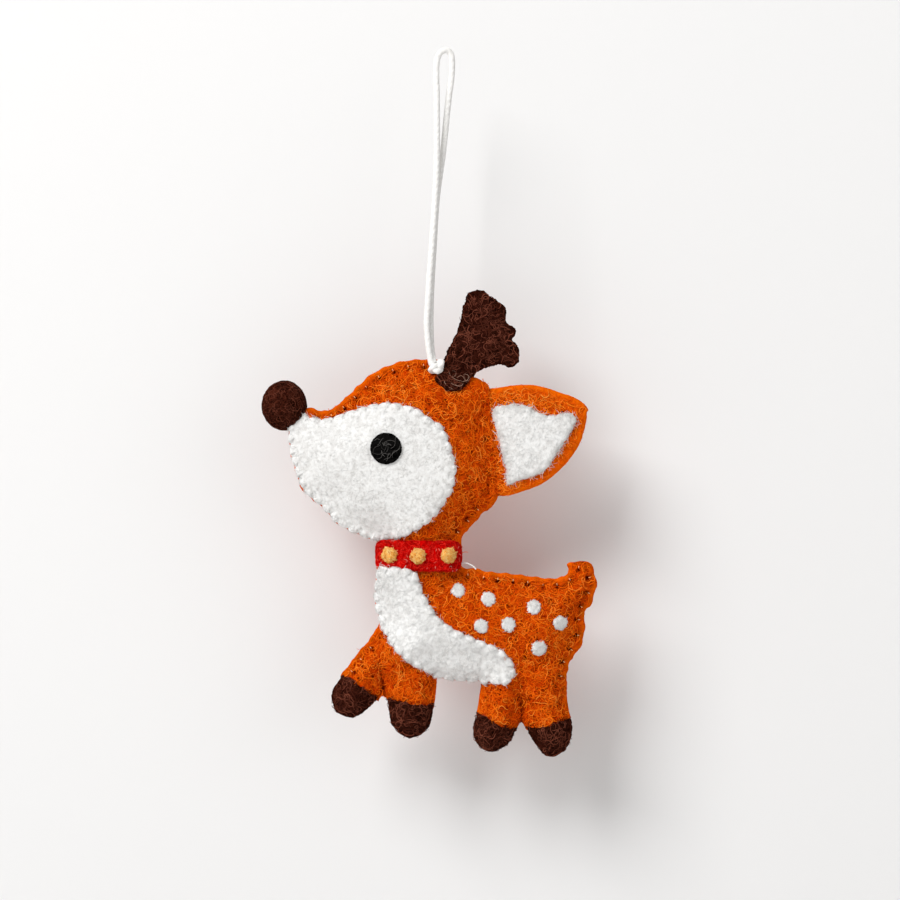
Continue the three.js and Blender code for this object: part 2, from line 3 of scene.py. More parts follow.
import bpy
import numpy as np
from mathutils.geometry import delaunay_2d_cdt
from mathutils.kdtree import KDTree
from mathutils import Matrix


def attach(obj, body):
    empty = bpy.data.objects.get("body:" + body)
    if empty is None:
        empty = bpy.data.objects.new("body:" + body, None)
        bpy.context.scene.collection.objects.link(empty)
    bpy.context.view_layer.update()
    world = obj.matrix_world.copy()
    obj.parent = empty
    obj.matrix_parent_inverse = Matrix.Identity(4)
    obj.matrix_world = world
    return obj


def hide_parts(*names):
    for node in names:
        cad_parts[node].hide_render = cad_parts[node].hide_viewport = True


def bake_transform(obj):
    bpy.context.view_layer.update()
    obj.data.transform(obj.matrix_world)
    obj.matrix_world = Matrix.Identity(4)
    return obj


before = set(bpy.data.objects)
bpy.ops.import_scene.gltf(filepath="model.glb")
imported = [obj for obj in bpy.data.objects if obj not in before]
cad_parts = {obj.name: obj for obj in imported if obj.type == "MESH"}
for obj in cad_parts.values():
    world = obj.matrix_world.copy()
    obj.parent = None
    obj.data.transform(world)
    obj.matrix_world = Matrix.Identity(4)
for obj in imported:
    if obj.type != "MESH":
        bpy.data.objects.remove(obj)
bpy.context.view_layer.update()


# The view. The ornament hangs on a wall and is seen square on from 625 mm, with a long lens,
# so that its decorated side shows as it does when it is held up at arm's length.
VIEW_DISTANCE = 0.625
VIEW_CENTRE = (0.001, -0.09915)
lens = bpy.data.cameras.new("wall_view")
lens.lens = 100
lens.sensor_width = 36
lens.clip_end = 20
viewer = bpy.data.objects.new("wall_view", lens)
viewer.location = (VIEW_CENTRE[0], -VIEW_DISTANCE, VIEW_CENTRE[1])
viewer.rotation_euler = (math.pi / 2, 0, 0)
bpy.context.scene.collection.objects.link(viewer)
bpy.context.scene.camera = viewer


# The room. A pale wall stands behind the felt, just clear of the ear when the toy swings and tips, and
# a pale floor lies below. The wall shows from in front only, so the back of the toy can be seen too.
WALL_BEHIND = 0.0255
FLOOR_BELOW = -0.24
ROOM_HALF = 2.0


def room_plane(name, corners, finish):
    mesh = bpy.data.meshes.new(name)
    mesh.from_pydata(corners, [], [(0, 1, 2, 3)])
    plane = bpy.data.objects.new(name, mesh)
    plane.data.materials.append(finish)
    bpy.context.scene.collection.objects.link(plane)
    return plane


def pale_paint(name, colour, one_sided):
    paint = bpy.data.materials.new(name)
    paint.use_nodes = True
    nodes, links = paint.node_tree.nodes, paint.node_tree.links
    matt = nodes["Principled BSDF"]
    matt.inputs["Base Color"].default_value = (*colour, 1)
    matt.inputs["Roughness"].default_value = 0.9
    matt.inputs["Specular IOR Level"].default_value = 0.1
    if not one_sided:
        return paint
    path = nodes.new("ShaderNodeLightPath")
    side = nodes.new("ShaderNodeNewGeometry")
    front = nodes.new("ShaderNodeMath")
    front.operation = "SUBTRACT"
    front.inputs[0].default_value = 1
    links.new(side.outputs["Backfacing"], front.inputs[1])
    shown = nodes.new("ShaderNodeMath")
    shown.operation = "MULTIPLY"
    links.new(front.outputs[0], shown.inputs[0])
    links.new(path.outputs["Is Camera Ray"], shown.inputs[1])
    clear = nodes.new("ShaderNodeBsdfTransparent")
    mix = nodes.new("ShaderNodeMixShader")
    links.new(shown.outputs[0], mix.inputs[0])
    links.new(clear.outputs[0], mix.inputs[1])
    links.new(matt.outputs[0], mix.inputs[2])
    links.new(mix.outputs[0], nodes["Material Output"].inputs["Surface"])
    return paint


room_plane("wall", [
    (-ROOM_HALF, WALL_BEHIND, FLOOR_BELOW), (ROOM_HALF, WALL_BEHIND, FLOOR_BELOW),
    (ROOM_HALF, WALL_BEHIND, ROOM_HALF), (-ROOM_HALF, WALL_BEHIND, ROOM_HALF),
], pale_paint("wall_paint", (0.78, 0.775, 0.77), True))
room_plane("floor", [
    (-ROOM_HALF, -ROOM_HALF, FLOOR_BELOW), (ROOM_HALF, -ROOM_HALF, FLOOR_BELOW),
    (ROOM_HALF, ROOM_HALF, FLOOR_BELOW), (-ROOM_HALF, ROOM_HALF, FLOOR_BELOW),
], pale_paint("floor_paint", (0.76, 0.755, 0.75), False))


# The light. One large soft lamp stands up and to the left, a weaker one fills from the right,
# a third lights the back for a look from behind, and the white room fills every shadow.
def soft_lamp(name, place, aim, watts, side):
    light = bpy.data.lights.new(name, "AREA")
    light.energy = watts
    light.shape = "SQUARE"
    light.size = side
    lamp = bpy.data.objects.new(name, light)
    lamp.location = place
    way = np.array(aim) - np.array(place)
    lamp.rotation_euler = (
        math.atan2(math.hypot(way[0], way[1]), -way[2]), 0, math.atan2(way[1], way[0]) - math.pi / 2,
    )
    bpy.context.scene.collection.objects.link(lamp)


TOY_MIDDLE = (0, 0, -0.11)
soft_lamp("key_lamp", (-0.9, -1.1, 1.0), TOY_MIDDLE, 30, 0.9)
soft_lamp("fill_lamp", (1.2, -1.2, 0.1), TOY_MIDDLE, 4, 1.2)
soft_lamp("back_lamp", (0.5, 1.3, 0.8), TOY_MIDDLE, 10, 1.0)

room = bpy.data.worlds.new("white_room")
room.use_nodes = True
bpy.context.scene.world = room
sky_nodes, sky_links = room.node_tree.nodes, room.node_tree.links
sky = sky_nodes["Background"]
sky.inputs["Color"].default_value = (1, 1, 1, 1)
sky.inputs["Strength"].default_value = 0.37
seen = sky_nodes.new("ShaderNodeBackground")
seen.inputs["Color"].default_value = (1, 1, 1, 1)
seen.inputs["Strength"].default_value = 1
ray = sky_nodes.new("ShaderNodeLightPath")
sky_mix = sky_nodes.new("ShaderNodeMixShader")
sky_links.new(ray.outputs["Is Camera Ray"], sky_mix.inputs[0])
sky_links.new(sky.outputs[0], sky_mix.inputs[1])
sky_links.new(seen.outputs[0], sky_mix.inputs[2])
sky_links.new(sky_mix.outputs[0], sky_nodes["World Output"].inputs["Surface"])
bpy.context.scene.view_settings.view_transform = "Standard"


# The hanging loop. One length of soft white cotton cord, three plies loosely twisted, 1.6 mm thick:
# up from the knot, over the peg, and down again. The toy's weight pulls it nearly straight, and where
# the toy tips, the cord bends in its last few millimetres above the knot.
MM = 0.001
CORD_RADIUS = 0.8
CORD_TWIST = 5.2
CORD_ROUTE = [
    (-3.45, -4.3, -78), (-3.9, -4.15, -76.4), (-4.4, -4.6, -73), (-4.75, -5.1, -67.5), (-4.4, -5.4, -61.5),
    (-4.0, -5.35, -55), (-3.55, -4.6, -49), (-2.7, -3.2, -36.5), (-2.3, -2.4, -26.5), (-2.3, -1.5, -11.5),
    (-2.45, -1.15, -6.5), (-2.3, -0.7, -2), (-1.4, -0.3, 0.15), (0, 0, 0.8), (1.1, 0.3, 0.1), (1.5, 0.6, -2),
    (1.3, 0.85, -6.5), (0.6, 0.8, -11.5), (-0.4, 0.2, -21.5), (-1, -0.2, -26.5), (-2.3, -1.2, -36.5),
    (-3.1, -2.6, -49), (-3.45, -3.45, -55), (-3.75, -3.8, -61.5), (-3.85, -3.6, -67.5), (-3.7, -3.2, -73),
    (-3.3, -3.5, -76.4), (-2.85, -3.8, -77.6),
]


def smooth_line(points, pitch, closed):
    """A smooth line through given points, with its own points evenly apart."""
    knots = np.array(points, float)
    if closed:
        knots = np.concatenate([knots[-1:], knots, knots[:2]])
    else:
        knots = np.concatenate([2 * knots[:1] - knots[1:2], knots, 2 * knots[-1:] - knots[-2:-1]])
    a, b, c, d = (knots[i:len(knots) - 3 + i, None] for i in range(4))
    t = np.linspace(0, 1, 24, endpoint=False)[None, :, None]
    fine = 0.5 * (2 * b + (c - a) * t + (2 * a - 5 * b + 4 * c - d) * t**2 + (3 * b - a - 3 * c + d) * t**3)
    fine = np.concatenate([fine.reshape(-1, knots.shape[1]), knots[-2:-1]])
    run = np.concatenate([[0], np.cumsum(np.linalg.norm(np.diff(fine, axis=0), axis=1))])
    count = max(int(round(run[-1] / pitch)), 3)
    stops = np.linspace(0, run[-1], count + (not closed), endpoint=not closed)
    return np.stack([np.interp(stops, run, column) for column in fine.T], 1)


def unit(vectors):
    return vectors / np.maximum(np.linalg.norm(vectors, axis=-1, keepdims=True), 1e-12)


def framed(line, closed):
    """The way a line runs at each point, and two directions across it that don't spin."""
    ahead = np.roll(line, -1, 0) - np.roll(line, 1, 0)
    if not closed:
        ahead[0], ahead[-1] = line[1] - line[0], line[-1] - line[-2]
    ahead = unit(ahead)
    across = np.zeros_like(ahead)
    side = np.cross(ahead[0], (0.3, 1, 0.2))
    for i, way in enumerate(ahead):
        side = side - way * (side @ way)
        side /= np.linalg.norm(side)
        across[i] = side
    return ahead, across, np.cross(ahead, across)


def spun_tube(line, radius, sides, closed=False):
    """Points and faces of a tube along a line. radius(angle, run) gives its skin at each place."""
    ahead, across, over = framed(line, closed)
    run = np.concatenate([[0], np.cumsum(np.linalg.norm(np.diff(line, axis=0), axis=1))])
    angle = np.linspace(0, 2 * np.pi, sides, endpoint=False)
    reach = radius(angle[None, :], run[:, None])[..., None]
    ring = np.cos(angle)[None, :, None] * across[:, None] + np.sin(angle)[None, :, None] * over[:, None]
    skin = (line[:, None] + reach * ring).reshape(-1, 3)
    rows = len(line) if closed else len(line) - 1
    i, j = np.meshgrid(np.arange(rows), np.arange(sides), indexing="ij")
    here, there = i * sides + j, i * sides + (j + 1) % sides
    up, up_there = (i + 1) % len(line) * sides + j, (i + 1) % len(line) * sides + (j + 1) % sides
    faces = np.stack([here, there, up_there, up], -1).reshape(-1, 4)
    triangles = np.concatenate([faces[:, [0, 1, 2]], faces[:, [0, 2, 3]]])
    if not closed:
        ends = np.arange(sides)
        last, first_hub, last_hub = (len(line) - 1) * sides, len(skin), len(skin) + 1
        skin = np.concatenate([skin, line[:1], line[-1:]])
        near_end = np.stack([np.full(sides, first_hub), (ends + 1) % sides, ends], 1)
        far_end = np.stack([np.full(sides, last_hub), last + ends, last + (ends + 1) % sides], 1)
        triangles = np.concatenate([triangles, near_end, far_end])
    return skin, triangles


def make_piece(name, points, triangles, finish, body):
    """A shown piece from points in millimetres. It rides on a body, where one is given, and takes its
    finish from a slot."""
    mesh = bpy.data.meshes.new(name)
    mesh.vertices.add(len(points))
    mesh.vertices.foreach_set("co", (np.asarray(points) * MM).astype(np.float32).ravel())
    mesh.loops.add(3 * len(triangles))
    mesh.loops.foreach_set("vertex_index", np.asarray(triangles, np.int32).ravel())
    mesh.polygons.add(len(triangles))
    mesh.polygons.foreach_set("loop_start", np.arange(0, 3 * len(triangles), 3, dtype=np.int32))
    mesh.polygons.foreach_set("use_smooth", np.ones(len(triangles), bool))
    mesh.update(calc_edges=True)
    mesh.materials.append(finish)
    piece = bpy.data.objects.new(name, mesh)
    bpy.context.scene.collection.objects.link(piece)
    if body:
        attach(piece, body)
    return piece


def skin_normals(points, triangles):
    a, b, c = (points[triangles[:, i]] for i in range(3))
    face = np.cross(b - a, c - a)
    total = np.zeros_like(points)
    for axis in range(3):
        for corner in range(3):
            total[:, axis] += np.bincount(triangles[:, corner], face[:, axis], len(points))
    return unit(total)


def wool(points, size, seed):
    """Soft random lumps of a given size, from -1 to 1, the same on every run."""
    place = points / size
    cell = np.floor(place).astype(np.int64)
    part = place - cell
    ease = part * part * (3 - 2 * part)
    total = np.zeros(len(points))
    for corner in np.ndindex(2, 2, 2):
        x, y, z = (cell + corner).T
        mixed = (x * 73856093 ^ y * 19349663 ^ z * 83492791 ^ seed * 39916801) & 0xFFFFFFFF
        mixed = (mixed ^ mixed >> 13) * 1274126177 & 0xFFFFFFFF
        value = ((mixed ^ mixed >> 16) & 0xFFFF) / 32767.5 - 1
        total += value * np.where(corner, ease, 1 - ease).prod(1)
    return total


def put(nodes, kind, **settings):
    node = nodes.new(kind)
    for key, value in settings.items():
        setattr(node, key, value)
    return node


def curly_ridges(nodes, links, coordinates, scale, bend, shift, width):
    """Thin curling lines, as fibres make where they cross a surface: the level lines of a noise."""
    move = put(nodes, "ShaderNodeMapping")
    move.inputs["Location"].default_value = shift
    links.new(coordinates, move.inputs["Vector"])
    noise = put(nodes, "ShaderNodeTexNoise")
    noise.inputs["Scale"].default_value = scale
    noise.inputs["Detail"].default_value = 1
    noise.inputs["Distortion"].default_value = bend
    links.new(move.outputs[0], noise.inputs["Vector"])
    apart = put(nodes, "ShaderNodeMath", operation="SUBTRACT")
    links.new(noise.outputs["Fac"], apart.inputs[0])
    apart.inputs[1].default_value = 0.5
    size = put(nodes, "ShaderNodeMath", operation="ABSOLUTE")
    links.new(apart.outputs[0], size.inputs[0])
    line = put(nodes, "ShaderNodeMapRange", interpolation_type="SMOOTHSTEP")
    line.inputs["From Min"].default_value = width
    line.inputs["From Max"].default_value = 0
    links.new(size.outputs[0], line.inputs["Value"])
    return line.outputs[0]


def strongest(nodes, links, first, second):
    most = put(nodes, "ShaderNodeMath", operation="MAXIMUM")
    links.new(first, most.inputs[0])
    links.new(second, most.inputs[1])
    return most.outputs[0]


def blended(nodes, links, share, low, high):
    """A colour mix whose ends are colours or other nodes' outputs."""
    mix = put(nodes, "ShaderNodeMix", data_type="RGBA")
    links.new(share, mix.inputs[0])
    for end, value in ((mix.inputs[6], low), (mix.inputs[7], high)):
        if isinstance(value, tuple):
            end.default_value = (*value, 1)
        else:
            links.new(value, end)
    return mix.outputs[2]


def linear(red, green, blue):
    """A colour given as it looks, from 0 to 255."""
    return tuple(
        (v / 255 / 12.92) if v <= 10 else ((v / 255 + 0.055) / 1.055) ** 2.4 for v in (red, green, blue)
    )


def cotton_finish(name, colour, shade):
    """Soft white cotton: a faint grey painted shade between curling fibre lines, and a fine fibre bump."""
    finish = bpy.data.materials.new(name)
    finish.use_nodes = True
    nodes, links = finish.node_tree.nodes, finish.node_tree.links
    skin = nodes["Principled BSDF"]
    skin.inputs["Roughness"].default_value = 0.85
    skin.inputs["Specular IOR Level"].default_value = 0.2
    skin.inputs["Sheen Weight"].default_value = 0.25
    place = put(nodes, "ShaderNodeTexCoord").outputs["Object"]
    fibres = curly_ridges(nodes, links, place, 1500, 0.6, (0, 0, 0), 0.05)
    more = curly_ridges(nodes, links, place, 2300, 0.8, (0.31, 0.2, 0.13), 0.05)
    strands = strongest(nodes, links, fibres, more)
    links.new(blended(nodes, links, strands, shade, colour), skin.inputs["Base Color"])
    bump = put(nodes, "ShaderNodeBump")
    bump.inputs["Strength"].default_value = 0.5
    bump.inputs["Distance"].default_value = 0.00012
    links.new(strands, bump.inputs["Height"])
    links.new(bump.outputs[0], skin.inputs["Normal"])
    return finish


cord_white = cotton_finish("white_cotton_cord", linear(254, 253, 251), linear(240, 238, 234))
cord_line = smooth_line(CORD_ROUTE, 0.22, False)


def three_plies(angle, run):
    ply = np.abs(np.cos(1.5 * (angle - 2 * np.pi * run / CORD_TWIST)))
    return CORD_RADIUS * (0.9 + 0.11 * ply**0.7)


cord_skin, cord_faces = spun_tube(cord_line, three_plies, 24)
cord_skin = cord_skin + skin_normals(cord_skin, cord_faces) * 0.035 * wool(cord_skin, 0.45, 3)[:, None]
loop = make_piece("cotton_loop", cord_skin, cord_faces, cord_white, None)
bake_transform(loop)
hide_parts("hanging_loop")


# The knot. Both ends of the loop are tied in one overhand knot, which sits in front of the crown of
# the head and is held there by a stitch. The toy turns and tips about it.
KNOT_CENTRE = np.array([-2.2, -4.1, -78.6])
KNOT_SIZE = 0.48
KNOT_CORD = 0.72


def overhand_line():
    t = np.linspace(0, 2 * np.pi, 150, endpoint=False)
    loops = np.stack([np.sin(t) + 2 * np.sin(2 * t), -1.5 * np.sin(3 * t), np.cos(t) - 2 * np.cos(2 * t)], 1)
    lean = math.radians(38)
    turned = loops @ np.array([
        [math.cos(lean), 0, math.sin(lean)], [0, 1, 0], [-math.sin(lean), 0, math.cos(lean)],
    ])
    aslant = np.array([0.78, 0, 0.62])
    pulled = turned + np.outer(turned @ aslant, aslant) * 0.28
    thin = np.array([-0.62, 0, 0.78])
    pulled = pulled - np.outer(turned @ thin, thin) * 0.3
    return KNOT_CENTRE + KNOT_SIZE * pulled


def knot_plies(angle, run):
    return KNOT_CORD * (0.88 + 0.14 * np.abs(np.cos(1.5 * (angle - 2 * np.pi * run / CORD_TWIST))))


knot_skin, knot_faces = spun_tube(overhand_line(), knot_plies, 24, True)
knot_skin = knot_skin + skin_normals(knot_skin, knot_faces) * 0.04 * wool(knot_skin, 0.5, 5)[:, None]
knot = make_piece("cotton_knot", knot_skin, knot_faces, cord_white, "knot")
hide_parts("loop_knot")


# The head. Two plies of orange wool felt, 1.2 mm thick and cut alike, sewn together 2.3 mm inside the
# edge with a running stitch and stuffed with wadding, so that they swell from a flat sewn rim.
FELT = 1.2
SEAM_HALF = 0.15
CUT_EDGE = 0.2
HEM_ROUND = 0.85
SEAM_INSET = 2.3
STITCH_PITCH = 3.75
STITCH_REACH = 0.75
NECK_LEVEL = -125.65
HEAD_EDGE = [
    (-36.5, -89.65), (-34, -88.53), (-31.25, -89.15), (-28.75, -88.78), (-27, -87.53),
    (-25.25, -86.03), (-23.5, -84.4), (-21.25, -82.28), (-19, -80.3), (-16.5, -78.85), (-13.5, -77.6),
    (-10.25, -76.7), (-6.5, -76.38), (-3, -76.28), (0.5, -77.15), (3.75, -78.9), (6.75, -80.65),
    (9.25, -82.03), (10.5, -83.65), (11, -86.65), (11.5, -91.65), (12, -96.65), (12.5, -101.65),
    (12.75, -106.65), (13, -110.65), (11.5, -113.28), (9.25, -115.15), (6.88, -117.9), (5, -119.78),
    (3.88, -121.9), (3.5, -125.65), (-1.5, -125.78), (-7, -125.78), (-12.5, -125.78),
    (-17.25, -125.65), (-17.5, -121.65), (-19, -121.65), (-26.5, -118.15), (-31, -113.65),
    (-36, -109.15), (-37.75, -104.4), (-39, -99.65), (-39.5, -94.15), (-39.12, -91.4),
]


def nearest_on(flat, line):
    """How far the line is from each flat point, and which of the line's points is nearest."""
    tree = KDTree(len(line))
    for i, (x, z) in enumerate(line.tolist()):
        tree.insert((x, z, 0), i)
    tree.balance()
    found = [tree.find((x, z, 0)) for x, z in flat.tolist()]
    return np.array([far for _, _, far in found]), np.array([which for _, which, _ in found])


def felt_edge(points, pitch=0.3):
    """A cut edge as a smooth closed line, anticlockwise as the viewer sees it."""
    line = smooth_line(points, pitch, True)
    x, z = line.T
    return line if (x * np.roll(z, -1) - z * np.roll(x, -1)).sum() > 0 else line[::-1]


def inward(edge):
    ahead = unit(np.roll(edge, -1, 0) - np.roll(edge, 1, 0))
    return np.stack([-ahead[:, 1], ahead[:, 0]], 1)


def enclosed(flat, edge):
    """Which of the points lie inside a closed edge."""
    x, z = flat.T
    crossed = np.zeros(len(flat), bool)
    for (x0, z0), (x1, z1) in zip(edge.tolist(), np.roll(edge, -1, 0).tolist()):
        if z0 != z1:
            crossed ^= ((z0 > z) != (z1 > z)) & (x < x0 + (z - z0) * (x1 - x0) / (z1 - z0))
    return crossed


def cut_felt(edge, grain, seed, rows=(0.14, 0.32, 0.56, 0.86, 1.2)):
    """Fills a closed edge with strewn points, in rows along the edge. Gives the points and triangles."""
    into = inward(edge)
    strewn = [edge]
    for row in rows:
        moved = edge + into * row
        strewn.append(moved[nearest_on(moved, edge)[0] > 0.93 * row])
    low, high = edge.min(0), edge.max(0)
    across, up = np.arange(low[0], high[0], grain), np.arange(low[1], high[1], grain * 0.866)
    grid = np.stack(np.meshgrid(across, up), -1)
    grid[::2, :, 0] += grain / 2
    grid = grid.reshape(-1, 2)
    grid += np.random.default_rng(seed).uniform(-0.16, 0.16, grid.shape) * grain
    grid = grid[enclosed(grid, edge)]
    strewn.append(grid[nearest_on(grid, edge)[0] > rows[-1] + 0.6 * grain])
    points = np.concatenate(strewn).tolist()
    ring = [(i, (i + 1) % len(edge)) for i in range(len(edge))]
    flat, _, faces = delaunay_2d_cdt(points, ring, [], 1, 1e-7, False)[:3]
    flat, triangles = np.array([tuple(p) for p in flat]), np.array(faces)
    a, b, c = (flat[triangles[:, i]] for i in range(3))
    turn = (b[:, 0] - a[:, 0]) * (c[:, 1] - a[:, 1]) - (b[:, 1] - a[:, 1]) * (c[:, 0] - a[:, 0])
    triangles[turn < 0] = triangles[turn < 0][:, ::-1]
    return flat, triangles[(np.abs(turn) > 1e-9) & enclosed((a + b + c) / 3, edge)]


def closed_felt(flat, triangles, near, far):
    """A closed piece over flat points, from a depth near the viewer to a depth behind, both from the seam."""
    count = len(flat)
    points = np.concatenate([
        np.stack([flat[:, 0], -near, flat[:, 1]], 1), np.stack([flat[:, 0], -far, flat[:, 1]], 1),
    ])
    sides = np.concatenate([triangles[:, [0, 1]], triangles[:, [1, 2]], triangles[:, [2, 0]]])
    rim = sides[~np.isin(sides[:, 0] * count + sides[:, 1], sides[:, 1] * count + sides[:, 0])]
    a, b = rim.T
    walls = np.concatenate([np.stack([b, a, a + count], 1), np.stack([b, a + count, b + count], 1)])
    return points, np.concatenate([triangles, triangles[:, ::-1] + count, walls])


def grid_heights(edge, height, spread=3, step=0.5, rounds=8):
    """Heights worked out on a grid and softened, because felt can't follow a sharp ridge."""
    low, high = edge.min(0) - spread, edge.max(0) + spread
    across, up = np.arange(low[0], high[0], step), np.arange(low[1], high[1], step)
    grid = np.stack(np.meshgrid(across, up, indexing="ij"), -1)
    field = height(grid.reshape(-1, 2)).reshape(grid.shape[:2])
    for _ in range(rounds):
        field[1:-1] = (field[:-2] + 2 * field[1:-1] + field[2:]) / 4
        field[:, 1:-1] = (field[:, :-2] + 2 * field[:, 1:-1] + field[:, 2:]) / 4

    def read(flat):
        place = np.clip((flat - low) / step, 0, np.array(field.shape) - 1.001)
        cell = place.astype(int)
        x, z = (place - cell).T
        i, j = cell.T
        below = field[i, j] * (1 - x) + field[i + 1, j] * x
        above = field[i, j + 1] * (1 - x) + field[i + 1, j + 1] * x
        return below * (1 - z) + above * z

    return read


def signed_distance(flat, edge):
    """How far inside an edge each point is, below nothing where it is outside."""
    far, which = nearest_on(flat, edge)
    return np.where(((flat - edge[which]) * inward(edge)[which]).sum(1) >= 0, far, -far)


def rounded_rise(inside, margin, reach, swell):
    return swell * np.sin(np.clip((inside - margin) / reach, 0, 1) * np.pi / 2)


def hem(inside):
    """Half the thickness at a sewn rim: half the seam and one ply, whose cut edge is worn round."""
    turn = 1 - np.clip(inside / HEM_ROUND, 0, 1)
    return SEAM_HALF + CUT_EDGE + (FELT - CUT_EDGE) * np.sqrt(1 - turn**2)


def sewn_stitches(edge, keep):
    """Each stitch of a seam, where keep(holes) is true: its needle hole and the place nearer the
    edge to which its thread is drawn."""
    seam = edge + inward(edge) * SEAM_INSET
    seam = seam[nearest_on(seam, edge)[0] > 0.95 * SEAM_INSET]
    seam = smooth_line(seam[::3], 0.1, True)
    count = int(len(seam) * 0.1 / STITCH_PITCH)
    holes = seam[(np.arange(count) * len(seam) / count).astype(int)]
    drawn = unit(edge[nearest_on(holes, edge)[1]] - holes)
    stitches = np.stack([holes, holes + drawn * STITCH_REACH], 1)
    return stitches[keep(holes)]


def drawn_edge(edge, stitches):
    """The cut edge where the stitches behind it have pulled it in."""
    near = nearest_on(edge, stitches[:, 0])[0] - SEAM_INSET
    return edge + inward(edge) * (0.26 * np.exp(-((near / 0.35) ** 2)))[:, None]


HOLE_PIT = 0.85
GROOVE_DEPTH = 0.26


def draw_in(flat, stitches):
    """How far the stitches draw the felt in: a pit at each hole and a groove from there to the edge."""
    holes = nearest_on(flat, stitches[:, 0])[0]
    steps = np.linspace(0, 2.6, 12)[None, :, None]
    along = stitches[:, :1] + steps * (stitches[:, 1:] - stitches[:, :1])
    groove = nearest_on(flat, along.reshape(-1, 2))[0]
    return np.maximum(
        HOLE_PIT * np.exp(-((holes / 0.5) ** 2)), GROOVE_DEPTH * np.exp(-((groove / 0.45) ** 2)),
    )


def mark(piece, name, values):
    """Keeps a value at each point of a piece for its finish."""
    kept = piece.data.attributes.new(name, "FLOAT", "POINT")
    kept.data.foreach_set("value", np.asarray(values, np.float32))


def felt_piece(name, points, faces, amount, seed, finish, node, size=1.3, raised=None):
    """A piece of the fawn with felt's own uneven surface, soft nubs of three sizes, where it is raised.
    Gives the piece and its raised skin."""
    lumps = 0.6 * wool(points, size, seed) + 0.4 * wool(points, size * 0.5, seed + 1)
    lumps = lumps + 0.25 * wool(points, size * 0.25, seed + 2)
    if raised is None:
        raised = np.ones(len(points), bool)
    points = points + skin_normals(points, faces) * (amount * lumps * raised)[:, None]
    piece = make_piece(name, points, faces, finish, "fawn")
    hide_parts(node)
    # The lumps go to the finish, which paints shade where they lie low.
    mark(piece, "nap", lumps)
    return piece, (points, faces[raised[faces].all(1)])


head_edge = felt_edge(HEAD_EDGE)
head_stitches = sewn_stitches(
    head_edge, lambda at: (at[:, 1] > NECK_LEVEL + 5) & ~((at[:, 0] > 6) & (at[:, 1] > -113)),
)
head_edge = drawn_edge(head_edge, head_stitches)
head_seam = head_edge[head_edge[:, 1] > NECK_LEVEL + 2]
# The rim that takes the painted rim light and thins the fibres; it leaves out the side by the ear, where the
# fold lies in shade.
head_rim = head_seam[(head_seam[:, 0] < 9) | (head_seam[:, 1] < -111)]
head_lift = grid_heights(head_edge, lambda flat: np.where(
    signed_distance(flat, head_edge) > 0,
    rounded_rise(nearest_on(flat, head_seam)[0], 1.6, 12, 5.8), 0,
))


NECK_HALF = 4.2
NECK_FLARE = 0.25


def drawn_to_neck(full, from_neck):
    """Draws a form in towards the neck, with a shallow dip where that starts."""
    neck = NECK_HALF + NECK_FLARE * np.maximum(from_neck, 0)
    return np.minimum(full, neck) - 0.35 * np.exp(-np.abs(full - neck) / 0.7)


def head_half(flat):
    """Half the head's thickness at each place, drawn in towards the neck."""
    full = hem(nearest_on(flat, head_seam)[0]) + head_lift(flat)
    return drawn_to_neck(full, flat[:, 1] - NECK_LEVEL)


